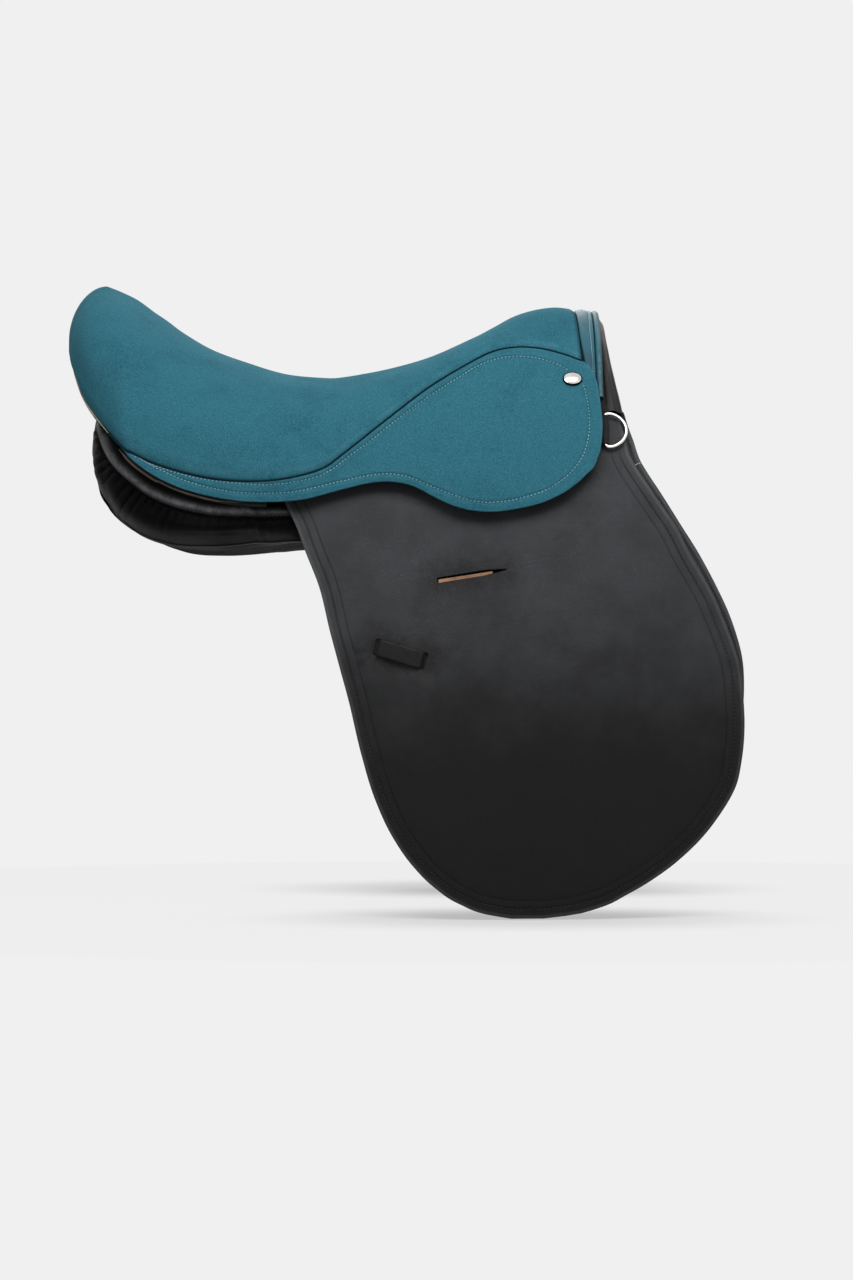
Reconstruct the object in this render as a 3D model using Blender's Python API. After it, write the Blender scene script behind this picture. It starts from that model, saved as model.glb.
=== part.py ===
# Polo saddle, metres, +X towards the pommel, +Y the horse's left, +Z up.
# The origin is on the midplane, at the level where the panels rest on the horse.
import math

import bmesh
import bpy
import numpy as np
from mathutils import Matrix, Vector

for old in list(bpy.data.objects):
    bpy.data.objects.remove(old, do_unlink=True)

# The flank is the surface that every hanging sheet follows: half an ellipse across,
# narrower towards the front. Its level t = 0 is the outer face of the panel.
FLANK_HALF = 0.160
FLANK_HIGH = 0.415
FLANK_CENTRE = -0.250
FLANK_TAPER = 0.30

# Leather thicknesses, and the gap left between two sheets. The flap has more room over
# the girth straps, so that both can move.
GAP = 0.0005
FLAP_ROOM = 0.0013
SWEAT_THICK = 0.0030
BILLET_THICK = 0.0028
FLAP_THICK = 0.0035
SKIRT_THICK = 0.0034
COVER_THICK = 0.0022
FOAM_THICK = 0.0140
CANVAS_THICK = 0.0016
WEB_THICK = 0.0020
RAIL_THICK = 0.0105
SPRING_THICK = 0.0016
STRIP_THICK = 0.0030

# Levels of the sheets above the flank surface, inner face first.
SWEAT_IN = 0.0
SWEAT_OUT = SWEAT_IN + SWEAT_THICK
DEEP_IN = SWEAT_OUT + GAP
DEEP_OUT = DEEP_IN + BILLET_THICK
NEAR_IN = DEEP_OUT + GAP
NEAR_OUT = NEAR_IN + BILLET_THICK
FLAP_IN = NEAR_OUT + FLAP_ROOM
FLAP_OUT = FLAP_IN + FLAP_THICK
LEATHER_GAP = 0.0052
BAR_THICK = 0.0041
BAR_IN = FLAP_OUT + LEATHER_GAP
BAR_OUT = BAR_IN + BAR_THICK
SKIRT_IN = BAR_OUT + 0.0007
SKIRT_OUT = SKIRT_IN + SKIRT_THICK
STRIP_OUT = SKIRT_IN - GAP
STRIP_IN = STRIP_OUT - STRIP_THICK

# Where the leather bends when it is lifted.
FLAP_BEND = -0.0102
SKIRT_BEND_BACK = (0.0540, 0.0280)
SKIRT_BEND_FRONT = (0.2288, 0.1040)
SHEET_TOP = 0.0862
LOBE_START = 0.0640
# The skirt bulges out between the ends of its bend, so the bend's line lies above it.
SKIRT_BEND_RISE = 0.0030

# Tree.
HEAD_BACK = 0.1960
HEAD_FRONT = 0.2220
HEAD_OUT = -0.0004
HEAD_THICK = 0.0110
HEAD_END = 0.0300
FACING_BACK = 0.2250
PLATE_THICK = 0.0020

# Girth straps.
BILLET_WIDE = 0.0250
BILLET_PIVOT = 0.0450
BILLET_END = -0.2050
BILLET_X = {"front": 0.1550, "middle": 0.1150, "rear": 0.0750}

# Stirrup bar, in its own plane above the flap.
BAR_X = 0.1400
BAR_Z = 0.1060
BAR_HIGH = 0.0120
BAR_BACK = 0.0980
BAR_FRONT = 0.1900
PIVOT_X = 0.0920

# D-ring.
RING_WIRE = 0.0018
RING_X = 0.2325
RING_Z = 0.0731
RING_HALF = 0.0168
RING_REACH = 0.0188
CHAPE_HIGH = 0.0160
CHAPE_THICK = 0.0016

SIDES = {"right": -1, "left": 1}

suede = ("suede_teal", (0.032, 0.155, 0.205), 0.92, 0.0)
teal = ("smooth_teal_leather", (0.045, 0.165, 0.205), 0.45, 0.0)
black = ("black_leather", (0.022, 0.022, 0.024), 0.50, 0.0)
brown = ("russet_leather", (0.20, 0.075, 0.035), 0.60, 0.0)
raw = ("natural_leather", (0.62, 0.36, 0.20), 0.65, 0.0)
cream = ("cream_leather", (0.70, 0.62, 0.48), 0.65, 0.0)
wood = ("laminated_beech", (0.55, 0.36, 0.19), 0.60, 0.0)
steel = ("tree_steel", (0.42, 0.43, 0.45), 0.40, 1.0)
chrome = ("chrome", (0.80, 0.80, 0.80), 0.10, 1.0)
cloth = ("tree_webbing", (0.60, 0.55, 0.42), 0.90, 0.0)
foam = ("seat_foam", (0.78, 0.70, 0.50), 0.95, 0.0)


def material(kind):
    name, colour, rough, metal = kind
    made = bpy.data.materials.get(name)
    if made is None:
        made = bpy.data.materials.new(name)
        made.use_nodes = True
        shader = made.node_tree.nodes["Principled BSDF"]
        shader.inputs["Base Color"].default_value = (*colour, 1.0)
        shader.inputs["Roughness"].default_value = rough
        shader.inputs["Metallic"].default_value = metal
    return made


def body(name, points, faces, kind, origin=None, smooth=True):
    mesh = bpy.data.meshes.new(name)
    work = bmesh.new()
    origin = Vector((0, 0, 0)) if origin is None else origin
    corners = [work.verts.new(Vector(p) - origin) for p in points]
    for face in faces:
        work.faces.new([corners[k] for k in face])
    bmesh.ops.recalc_face_normals(work, faces=work.faces[:])
    if work.calc_volume(signed=True) < 0:
        bmesh.ops.reverse_faces(work, faces=work.faces[:])
    work.to_mesh(mesh)
    work.free()
    mesh.materials.append(material(kind))
    if smooth:
        mesh.shade_smooth()
        mesh.set_sharp_from_angle(angle=math.radians(40))
    made = bpy.data.objects.new(name, mesh)
    made.location = origin
    bpy.context.collection.objects.link(made)
    return made


def shell(name, outer, inner, kind, origin=None):
    # Two equal grids joined round their free edges. Points that coincide are welded, and
    # both grids are split along the same diagonals, so that the thickness stays even.
    known = {}
    front = []
    back = []
    grid = []
    for line, under in zip(outer, inner):
        row = []
        for p, q in zip(line, under):
            key = (round(p.x, 6), round(p.y, 6), round(p.z, 6))
            if key not in known:
                known[key] = len(front)
                front.append(p)
                back.append(q)
            row.append(known[key])
        grid.append(row)
    faces = []
    for one, two in zip(grid, grid[1:]):
        for j in range(len(one) - 1):
            for corner in ([one[j], one[j + 1], two[j + 1]], [one[j], two[j + 1], two[j]]):
                if len(set(corner)) == 3:
                    faces.append(corner)
    edges = {(a, b) for f in faces for a, b in zip(f, f[1:] + f[:1])}
    rim = sorted((a, b) for a, b in edges if (b, a) not in edges)
    n = len(front)
    faces += [[v + n for v in reversed(f)] for f in faces]
    faces += [[b, a, a + n, b + n] for a, b in rim]
    return body(name, front + back, faces, kind, origin)


def curve(points):
    # A smooth line through (place, value) pairs, without overshoot at its ends.
    place = np.array([p[0] for p in points], dtype=float)
    value = np.array([p[1] for p in points], dtype=float)
    order = np.argsort(place)
    place = place[order]
    value = value[order]
    slope = np.gradient(value, place)

    def at(x):
        x = min(max(x, place[0]), place[-1])
        k = min(int(np.searchsorted(place, x, side="right")) - 1, len(place) - 2)
        h = place[k + 1] - place[k]
        f = (x - place[k]) / h
        return float(
            value[k] * (1 + 2 * f) * (1 - f) ** 2
            + h * slope[k] * f * (1 - f) ** 2
            + value[k + 1] * f * f * (3 - 2 * f)
            + h * slope[k + 1] * f * f * (f - 1)
        )

    return at


def steps(a, b, n):
    return [a + (b - a) * k / n for k in range(n + 1)]


def arch_point(x, angle, t, side=1):
    y = FLANK_HALF * math.sin(angle)
    z = FLANK_HIGH * math.cos(angle)
    n = Vector((0, math.sin(angle) / FLANK_HALF, math.cos(angle) / FLANK_HIGH)).normalized()
    return Vector((x, side * (y + t * n.y) * (1 - FLANK_TAPER * x), FLANK_CENTRE + z + t * n.z))


def arch_angle(z, t):
    low, high = 0.0, 2.6
    for _ in range(40):
        mid = (low + high) / 2
        if arch_point(0, mid, t).z > z:
            low = mid
        else:
            high = mid
    return (low + high) / 2


def flank(x, z, t, side):
    return arch_point(x, arch_angle(z, t), t, side)


def flank_frame(x, z, t, side):
    # Axes at a point of the flank: forward, up along the surface, outward.
    here = flank(x, z, t, side)
    along = (flank(x + 0.01, z, t, side) - here).normalized()
    up = (flank(x, z + 0.002, t, side) - flank(x, z - 0.002, t, side)).normalized()
    out = along.cross(up)
    if out.y * side < 0:
        out = -out
    out.normalize()
    up = (up - along * up.dot(along)).normalized()
    frame = Matrix((along, up, out)).transposed().to_4x4()
    return Matrix.Translation(here) @ frame


def level(t, u, v):
    return t(u, v) if callable(t) else t


def sheet(name, side, place, us, vs, t0, t1, kind, origin=None):
    outer = []
    inner = []
    for v in vs:
        spots = [(u, place(u, v)) for u in us]
        outer.append([flank(x, z, level(t1, u, v), side) for u, (x, z) in spots])
        inner.append([flank(x, z, level(t0, u, v), side) for u, (x, z) in spots])
    return shell(name, outer, inner, kind, origin)


def arch(name, back, front, end, t0, t1, kind, across=20, along=1, crown=0.0):
    # A band over the withers, from the height end on one side to the same on the other.
    outer = []
    inner = []
    top = arch_angle(end, t1)
    for a in steps(-top, top, across):
        z = arch_point(0, abs(a), t1).z
        high = []
        low = []
        for u in steps(0, 1, along):
            x = back(z) + (front(z) - back(z)) * u
            drop = crown * (2 * u - 1) ** 2
            high.append(arch_point(x, abs(a), t1 - drop, 1 if a > 0 else -1))
            low.append(arch_point(x, abs(a), t0 + drop * 0.5, 1 if a > 0 else -1))
        outer.append(high)
        inner.append(low)
    return shell(name, outer, inner, kind)


def loft(name, rings, kind, bulge=0.0):
    points = [p for ring in rings for p in ring]
    n = len(rings[0])
    faces = []
    for i in range(len(rings) - 1):
        for j in range(n):
            k = (j + 1) % n
            faces.append([i * n + j, i * n + k, (i + 1) * n + k, (i + 1) * n + j])
    for ring, first, push in ((rings[0], 0, -bulge), (rings[-1], len(points) - n, bulge)):
        centre = sum(ring, Vector()) / n
        points.append(centre + Vector((push, 0, 0)))
        last = len(points) - 1
        faces += [[first + j, first + (j + 1) % n, last] for j in range(n)]
    return body(name, points, faces, kind)


def tube(name, path, radius, kind, closed=False, around=8, origin=None):
    n = len(path)
    rings = []
    normal = None
    for i, p in enumerate(path):
        before = path[(i - 1) % n] if closed else path[max(i - 1, 0)]
        after = path[(i + 1) % n] if closed else path[min(i + 1, n - 1)]
        run = (after - before).normalized()
        if normal is None:
            normal = run.orthogonal().normalized()
        normal = (normal - run * normal.dot(run)).normalized()
        other = run.cross(normal)
        turn = [2 * math.pi * k / around for k in range(around)]
        rings.append([p + (normal * math.cos(a) + other * math.sin(a)) * radius for a in turn])
    points = [p for ring in rings for p in ring]
    faces = []
    for i in range(n if closed else n - 1):
        shift = 0
        nxt = (i + 1) % n
        if closed and nxt == 0:
            gaps = [(rings[-1][0] - q).length for q in rings[0]]
            shift = gaps.index(min(gaps))
        for j in range(around):
            k = (j + 1) % around
            faces.append([i * around + j, i * around + k,
                          nxt * around + (k + shift) % around, nxt * around + (j + shift) % around])
    if not closed:
        faces.append(list(range(around)))
        faces.append([len(points) - around + k for k in range(around)])
    return body(name, points, faces, kind, origin)


def prism(name, profile, low, high, frame, kind, origin=None, smooth=True):
    # The profile lies in the frame's first and second axes and is drawn along the third.
    n = len(profile)
    points = [frame @ Vector((a, b, low)) for a, b in profile]
    points += [frame @ Vector((a, b, high)) for a, b in profile]
    faces = [list(range(n)), list(range(n, 2 * n))]
    faces += [[k, (k + 1) % n, n + (k + 1) % n, n + k] for k in range(n)]
    return body(name, points, faces, kind, origin, smooth)


def block(name, low, high, frame, kind):
    profile = [(low[0], low[1]), (high[0], low[1]), (high[0], high[1]), (low[0], high[1])]
    return prism(name, profile, low[2], high[2], frame, kind, smooth=False)


def disc(radius, n=16, centre=(0.0, 0.0)):
    return [(centre[0] + radius * math.cos(2 * math.pi * k / n),
             centre[1] + radius * math.sin(2 * math.pi * k / n)) for k in range(n)]


def combine(target, others, operation):
    for other in others:
        step = target.modifiers.new(operation.lower(), "BOOLEAN")
        step.solver = "EXACT"
        step.operation = operation
        step.object = other
        other.hide_render = True
        other.display_type = "WIRE"


def settle(target, others):
    # Bakes the joined or cut shape into the mesh and drops the helper shapes.
    bpy.context.view_layer.update()
    graph = bpy.context.evaluated_depsgraph_get()
    done = bpy.data.meshes.new_from_object(target.evaluated_get(graph))
    target.modifiers.clear()
    kind = target.data.materials[0]
    target.data = done
    done.materials.clear()
    done.materials.append(kind)
    for poly in done.polygons:
        poly.material_index = 0
    for other in others:
        bpy.data.objects.remove(other, do_unlink=True)
    return target


# Seat. Each station has a point on the ridge line (x, z) and the point where the seat
# meets its lower seam (x, y, z).
SEAT_LINE = [
    (0.2095, 0.1902, 0.2142, 0.0887, 0.1359),
    (0.1935, 0.1920, 0.1952, 0.0840, 0.1430),
    (0.1766, 0.1893, 0.1766, 0.0809, 0.1475),
    (0.1576, 0.1828, 0.1576, 0.0805, 0.1485),
    (0.1383, 0.1726, 0.1383, 0.0840, 0.1449),
    (0.1193, 0.1622, 0.1193, 0.0916, 0.1356),
    (0.0813, 0.1452, 0.0813, 0.1084, 0.1114),
    (0.0443, 0.1343, 0.0443, 0.1248, 0.0820),
    (0.0068, 0.1282, 0.0068, 0.1392, 0.0511),
    (-0.0127, 0.1272, -0.0127, 0.1450, 0.0375),
    (-0.0467, 0.1304, -0.0467, 0.1495, 0.0287),
    (-0.0807, 0.1407, -0.0807, 0.1515, 0.0273),
    (-0.1130, 0.1530, -0.1147, 0.1517, 0.0312),
    (-0.1400, 0.1690, -0.1490, 0.1498, 0.0407),
    (-0.1550, 0.1797, -0.1706, 0.1470, 0.0502),
    (-0.1680, 0.1880, -0.1855, 0.1437, 0.0600),
    (-0.1830, 0.1985, -0.2160, 0.1120, 0.0960),
    (-0.1980, 0.2060, -0.2310, 0.0740, 0.1240),
    (-0.2080, 0.2102, -0.2370, 0.0360, 0.1370),
    (-0.2110, 0.2113, -0.2385, 0.0000, 0.1400),
]
# How far the leather leans inwards at the lower seam, in degrees, at the same stations.
SEAT_LEAN = [40.6, 40, 40, 40, 38, 36, 30, 24, 20, 18, 14, 10,
             6, 2, 0, -4, -12, -20, -28, -30]
seatCurves = [curve([(k, row[c]) for k, row in enumerate(SEAT_LINE)]) for c in range(5)]
seatLean = curve(list(enumerate(SEAT_LEAN)))
SEAT_LAST = len(SEAT_LINE) - 1


def seat_skin(s, v):
    k = s * SEAT_LAST
    cx, cz, bx, by, bz = [c(k) for c in seatCurves]
    side = 1 if v > 0 else -1
    top = Vector((cx, 0, cz))
    rim = Vector((bx, side * by, bz))
    out = Vector((rim.x - top.x, rim.y - top.y, 0))
    far = out.length
    out.normalize()
    chord = (rim - top).length
    lean = math.radians(seatLean(k))
    reach = min(0.43 * chord, 0.9 * (cz - bz) / math.cos(lean))
    one = top + out * max(0.45 * far, 0.024)
    two = rim + Vector((0, 0, math.cos(lean) * reach)) - out * (math.sin(lean) * reach)
    f = abs(v)
    return (top * (1 - f) ** 3 + one * 3 * f * (1 - f) ** 2
            + two * 3 * f * f * (1 - f) + rim * f ** 3)


def seat_point(s, v, inset):
    p = seat_skin(s, v)
    ds, dv = 0.004, 0.004
    side = 1 if v >= 0 else -1
    run = seat_skin(min(s + ds, 1), v) - seat_skin(max(s - ds, 0), v)
    f = min(max(abs(v), dv), 1 - dv)
    across = seat_skin(s, side * (f + dv)) - seat_skin(s, side * (f - dv))
    if s > 1 - 1e-6:
        run = Vector((0, 1, 0))
    normal = run.cross(across)
    if v == 0 or s > 1 - 1e-6:
        normal.y = 0
    normal.normalize()
    if normal.dot(p - Vector((p.x * 0.8, 0, 0.02))) < 0:
        normal = -normal
    if abs(v) > 0.999:
        # The rim's edge is level, like the skirt's edge below it.
        normal.z = 0
        normal.normalize()
    return p - normal * inset


def seat_block(name, ss, vs, d0, d1, kind):
    outer = [[seat_point(s, v, d0) for v in vs] for s in ss]
    inner = [[seat_point(s, v, d1) for v in vs] for s in ss]
    return shell(name, outer, inner, kind)


foamIn = COVER_THICK + 0.0003
foamOut = foamIn + FOAM_THICK
canvasIn = foamOut + 0.0004
canvasOut = canvasIn + CANVAS_THICK
webIn = canvasOut + 0.0004
webOut = webIn + WEB_THICK
railIn = canvasOut + 0.0004
crossIn = webOut + 0.0004
railOut = railIn + RAIL_THICK
springIn = railOut + 0.0004
springOut = springIn + SPRING_THICK

# Every layer of the seat uses the same stations, so the layers stay parallel.
SEAT_S = sorted(list(range(20)) + [5.5, 6.5, 7.5, 9.5, 11.5, 15.5, 16.5, 17.5])
SEAT_V = [0, 0.16, 0.32, 0.48, 0.62, 0.76, 0.88, 1.0]


def stations(first, last):
    return [k / SEAT_LAST for k in SEAT_S if first <= k <= last]


def across(last):
    half = [v for v in SEAT_V if v <= last]
    return [-v for v in reversed(half)] + half[1:]


def one_side(side, first, last):
    return [side * v for v in SEAT_V if first <= v <= last]


seat_block("seat_cover", stations(0, 19), across(1.0), 0.0, COVER_THICK, suede)
seat_block("seat_foam", stations(1, 19), across(0.88), foamIn, foamOut, foam)
seat_block("seat_canvas", stations(1, 13), across(0.76), canvasIn, canvasOut, cloth)
seat_block("cross_web", stations(6, 7), across(0.32), crossIn, crossIn + WEB_THICK, cloth)
seat_block("cantle_arch", stations(14, 19), across(0.76), webIn + 0.0003, webIn + 0.0083, wood)
for word, side in SIDES.items():
    seat_block("long_web_" + word, stations(2, 13), one_side(side, 0.16, 0.32), webIn, webOut,
               cloth)
    seat_block("side_rail_" + word, stations(1, 13), one_side(side, 0.48, 0.76), railIn, railOut,
               wood)
    seat_block("spring_strip_" + word, stations(2, 12), one_side(side, 0.62, 0.76),
               springIn, springOut, steel)

# Head of the tree and the pommel.
def constant(value):
    return lambda z: value


# The seam at the front of the seat, as x against z, and the strip in front of it.
SEAT_FRONT = [(0.1359, 0.2142), (0.160, 0.2110), (0.190, 0.2095)]
seatFront = curve(SEAT_FRONT)
FACING_FRONT = [(0.0880, 0.2498), (0.107, 0.2463), (0.131, 0.2418), (0.163, 0.2378),
                (0.182, 0.2368)]
facingFront = curve(FACING_FRONT)

arch("head_arch", constant(HEAD_BACK), constant(HEAD_FRONT), HEAD_END,
     HEAD_OUT - HEAD_THICK, HEAD_OUT, wood, across=26)
arch("head_plate", constant(HEAD_FRONT + 0.0004), constant(HEAD_FRONT + 0.0004 + PLATE_THICK),
     0.0850, HEAD_OUT - HEAD_THICK, HEAD_OUT, steel)
arch("gullet_plate", constant(HEAD_BACK + 0.002), constant(HEAD_FRONT - 0.002), 0.0960,
     HEAD_OUT - HEAD_THICK - 0.0004 - PLATE_THICK, HEAD_OUT - HEAD_THICK - 0.0004, steel)
arch("pommel_pad", constant(0.1975), constant(FACING_BACK - 0.0006), 0.1190,
     0.0002, STRIP_IN - 0.0004, foam)
arch("pommel_strip", lambda z: seatFront(z) + 0.0022, constant(0.2262), 0.1060,
     STRIP_IN, STRIP_OUT, teal)
arch("pommel_binding", constant(0.2266), constant(0.2325), 0.1030, STRIP_IN - 0.0020, STRIP_OUT,
     teal, crown=0.0016, along=3)
arch("front_facing", constant(FACING_BACK), facingFront, 0.0905, -0.0040, 0.0165, black,
     crown=0.0040, along=3)

# Outlines of the hanging leather, x against z down each edge.
FLAP_BACK = [(0.0862, -0.0560), (0.0300, -0.0490), (0.0068, -0.0421), (-0.0086, -0.0344),
             (-0.0349, -0.0243), (-0.0617, -0.0136), (-0.1018, -0.0035), (-0.1306, 0.0043),
             (-0.1602, 0.0124), (-0.2032, 0.0226), (-0.2445, 0.0352), (-0.2769, 0.0505),
             (-0.2996, 0.0663), (-0.3180, 0.0845), (-0.3330, 0.1071), (-0.3421, 0.1321),
             (-0.3452, 0.1500)]
flapBack = curve(FLAP_BACK)
FLAP_FRONT = [(0.0896, 0.2448), (0.0779, 0.2479), (0.0654, 0.2510), (0.0495, 0.2549),
              (0.0415, 0.2591), (0.0289, 0.2671), (0.0172, 0.2745), (0.0057, 0.2821),
              (-0.0115, 0.2932), (-0.0349, 0.3045), (-0.0587, 0.3180), (-0.0732, 0.3254),
              (-0.0915, 0.3327), (-0.1052, 0.3380), (-0.1256, 0.3446), (-0.1597, 0.3485),
              (-0.1826, 0.3492), (-0.2115, 0.3465), (-0.2324, 0.3418), (-0.2573, 0.3277),
              (-0.2825, 0.3072), (-0.3073, 0.2779), (-0.3243, 0.2502), (-0.3369, 0.2230),
              (-0.3425, 0.2004), (-0.3452, 0.1776)]
flapFront = curve(FLAP_FRONT)
SWEAT_BACK = [(0.0862, -0.0200), (0.0000, -0.0180), (-0.1000, 0.0080), (-0.2000, 0.0340),
              (-0.2500, 0.0560), (-0.2850, 0.0860), (-0.3050, 0.1200), (-0.3120, 0.1500)]
sweatBack = curve(SWEAT_BACK)
SWEAT_FRONT = [(0.0862, 0.2525), (0.0802, 0.2536), (0.0650, 0.2584), (0.0472, 0.2640),
               (0.0340, 0.2715), (0.0208, 0.2798), (0.0036, 0.2902), (-0.0088, 0.2976),
               (-0.0339, 0.3128), (-0.0509, 0.3218), (-0.0670, 0.3297), (-0.0838, 0.3372),
               (-0.1030, 0.3438), (-0.1206, 0.3483), (-0.1513, 0.3501), (-0.1826, 0.3470),
               (-0.2115, 0.3410), (-0.2450, 0.3210), (-0.2750, 0.2870), (-0.2980, 0.2420),
               (-0.3090, 0.2000), (-0.3120, 0.1800)]
sweatFront = curve(SWEAT_FRONT)
SEAM_GAP = 0.0006
skirtTop = curve([(seatCurves[2](k), seatCurves[4](k) - SEAM_GAP) for k in SEAT_S if k <= 15])
SKIRT_FRONT = [(0.2100, 0.1375), (0.2142, 0.1353), (0.2180, 0.1330), (0.2216, 0.1290),
               (0.2250, 0.1210), (0.2266, 0.1158), (0.2280, 0.1075), (0.2288, 0.1042)]
skirtFront = curve(SKIRT_FRONT)
LOBE_FRONT = [(0.2280, 0.1050), (0.2290, 0.0981), (0.2298, 0.0890), (0.2304, 0.0806)]
lobeFront = curve(LOBE_FRONT)
SKIRT_BOTTOM = [(-0.1855, 0.0588), (-0.1765, 0.0484), (-0.1616, 0.0363), (-0.1400, 0.0242),
                (-0.1143, 0.0156), (-0.0845, 0.0100), (-0.0548, 0.0088), (-0.0294, 0.0106),
                (0.0071, 0.0199), (0.0309, 0.0256), (0.0480, 0.0266), (0.0666, 0.0229),
                (0.0851, 0.0134), (0.1034, 0.0051), (0.1273, 0.0008), (0.1555, 0.0033),
                (0.1834, 0.0111), (0.2020, 0.0215), (0.2150, 0.0329), (0.2248, 0.0460),
                (0.2290, 0.0613), (0.2300, 0.0700), (0.2304, 0.0760)]
skirtBottom = curve(SKIRT_BOTTOM)


def bend_line(x):
    (x0, z0), (x1, z1) = SKIRT_BEND_BACK, SKIRT_BEND_FRONT
    return z0 + (z1 - z0) * (x - x0) / (x1 - x0)


def rows(left, right, heights):
    def place(u, v):
        z = heights[v]
        return left(z) + (right(z) - left(z)) * u, z
    return place


def columns(bottom, top):
    def place(u, v):
        return u, bottom(u) + (top(u) - bottom(u)) * v
    return place


LOWER_ROWS = [FLAP_BEND - 0.0003, -0.034, -0.058, -0.082, -0.106, -0.130, -0.156, -0.182, -0.208,
             -0.234, -0.258, -0.280, -0.299, -0.316, -0.330, -0.340, -0.3452]
SWEAT_ROWS = [-0.022, -0.056, -0.090, -0.124, -0.158, -0.192, -0.224, -0.252, -0.276, -0.294,
             -0.306, -0.312]
seatEdge = sorted(seatCurves[2](k) for k in SEAT_S if k <= 15)
skirtColumns = sorted([x for x in seatEdge if abs(x - LOBE_START) > 0.004] + [-0.178, -0.160, -0.132]
                      + [0.056, LOBE_START - 0.0013, LOBE_START - 0.0003, 0.072]
                      + [0.218, 0.2216, 0.2250, 0.2275])
lobeColumns = [LOBE_START, 0.074, 0.087, 0.100, 0.114, 0.128, 0.142, 0.156, 0.170, 0.184, 0.196,
               0.207, 0.216, 0.222, 0.2262, 0.2284, 0.2298, 0.2303]


def skirt_low(x):
    return skirtBottom(x) if x < LOBE_START - 0.001 else bend_line(x) + 0.0003


def skirt_high(x):
    return skirtTop(x) if x < 0.2100 else skirtFront(x)


def lobe_high(x):
    return min(bend_line(x) - 0.0003, lobeFront(x)) if x > 0.2280 else bend_line(x) - 0.0003


def under_skirt(left, right, bottom, margin, front_from, front_top):
    # The top of a sheet stays below the seat's seam at the back and the arch at the front.
    def place(u, v):
        high = bottom
        for _ in range(4):
            x = left(high) + (right(high) - left(high)) * u
            high = min(SHEET_TOP, skirtTop(x) - margin) if x < front_from else front_top
        z = bottom + (high - bottom) * v
        return left(z) + (right(z) - left(z)) * u, z
    return place


flapTopPlace = under_skirt(flapBack, flapFront, FLAP_BEND + 0.0003, 0.0020, 0.2200, SHEET_TOP)
sweatTopPlace = under_skirt(sweatBack, sweatFront, -0.022, 0.0050, 0.2000, 0.0800)


def sweat_place(u, v):
    # Whole numbers count the lower rows, a negative number is a share of the top part.
    return sweatTopPlace(u, -v) if v < 0 else rows(sweatBack, sweatFront, SWEAT_ROWS)(u, v)


skirtPlace = columns(skirt_low, skirt_high)
lobePlace = columns(skirtBottom, lobe_high)


for word, side in SIDES.items():
    sheet("sweat_flap_" + word, side, sweat_place, steps(0, 1, 7),
          [-1, -0.8, -0.6, -0.4, -0.2] + list(range(len(SWEAT_ROWS))),
          SWEAT_IN, SWEAT_OUT, black)
    sheet("flap_top_" + word, side, flapTopPlace, steps(0, 1, 10), steps(0, 1, 5),
          FLAP_IN, FLAP_OUT, black)
    pivot = flank(flapBack(FLAP_BEND), FLAP_BEND, FLAP_OUT, side)
    sheet("flap_" + word, side, rows(flapBack, flapFront, LOWER_ROWS), steps(0, 1, 9),
          range(len(LOWER_ROWS)), FLAP_IN, FLAP_OUT, black, pivot)
    sheet("skirt_" + word, side, skirtPlace, skirtColumns, steps(0, 1, 4), SKIRT_IN, SKIRT_OUT,
          suede)
    pivot = flank(*SKIRT_BEND_BACK, SKIRT_OUT + SKIRT_BEND_RISE, side)
    sheet("skirt_lobe_" + word, side, lobePlace, lobeColumns, steps(0, 1, 6),
          SKIRT_IN, SKIRT_OUT, suede, pivot)

# Panels. Each station along the horse: how far out the side reaches, the top, the outer
# shoulder, the lower end, the width of the lower end, the bearing face and the channel edge.
PANEL_LINE = [
    (-0.2165, 0.066, 0.078, 0.066, 0.044, 0.020, 0.046, 0.054),
    (-0.2120, 0.090, 0.096, 0.078, 0.028, 0.030, 0.030, 0.044),
    (-0.2000, 0.114, 0.098, 0.072, 0.006, 0.038, 0.010, 0.028),
    (-0.1800, 0.130, 0.090, 0.058, -0.013, 0.042, -0.009, 0.012),
    (-0.1500, 0.1415, 0.080, 0.041, -0.026, 0.045, -0.0235, -0.002),
    (-0.1100, 0.147, 0.072, 0.024, -0.0295, 0.046, -0.028, -0.008),
    (-0.0850, 0.1465, 0.066, 0.021, -0.0285, 0.045, -0.027, -0.008),
    (-0.0585, 0.150, 0.060, 0.024, -0.026, 0.040, -0.024, -0.006),
    (-0.0235, 0.150, 0.056, 0.030, -0.024, 0.030, -0.018, -0.002),
    (0.0300, 0.150, 0.060, 0.042, -0.035, 0.020, -0.004, 0.012),
    (0.0900, 0.150, 0.070, 0.054, -0.055, 0.016, 0.014, 0.032),
    (0.1500, 0.150, 0.078, 0.060, -0.065, 0.015, 0.028, 0.046),
    (0.1880, 0.150, 0.080, 0.062, -0.060, 0.015, 0.036, 0.052),
    (0.2400, 0.150, 0.074, 0.052, -0.036, 0.014, 0.040, 0.050),
]
panelCurves = [curve([(row[0], row[c]) for row in PANEL_LINE]) for c in range(1, 8)]
PANEL_CHANNEL = 0.036
PANEL_X = [-0.2165, -0.2145, -0.2110, -0.2050, -0.1960, -0.1840, -0.1680, -0.1480, -0.1250,
           -0.1000, -0.0790, -0.0590, -0.0230, 0.0200, 0.0650, 0.1100, 0.1500, 0.1880, 0.1945,
           0.2260, 0.2300, 0.2400]


def panel_limit(x, z):
    # The panel stays inside whatever lies over it at this place.
    if x < -0.060:
        return 1.0
    inside = FLAP_IN - 0.0010 if x < -0.030 else -0.0008
    if 0.190 < x < 0.228:
        inside = HEAD_OUT - HEAD_THICK - 0.0028
    elif x > 0.228:
        inside = -0.0050
    return flank(x, z, inside, 1).y


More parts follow.
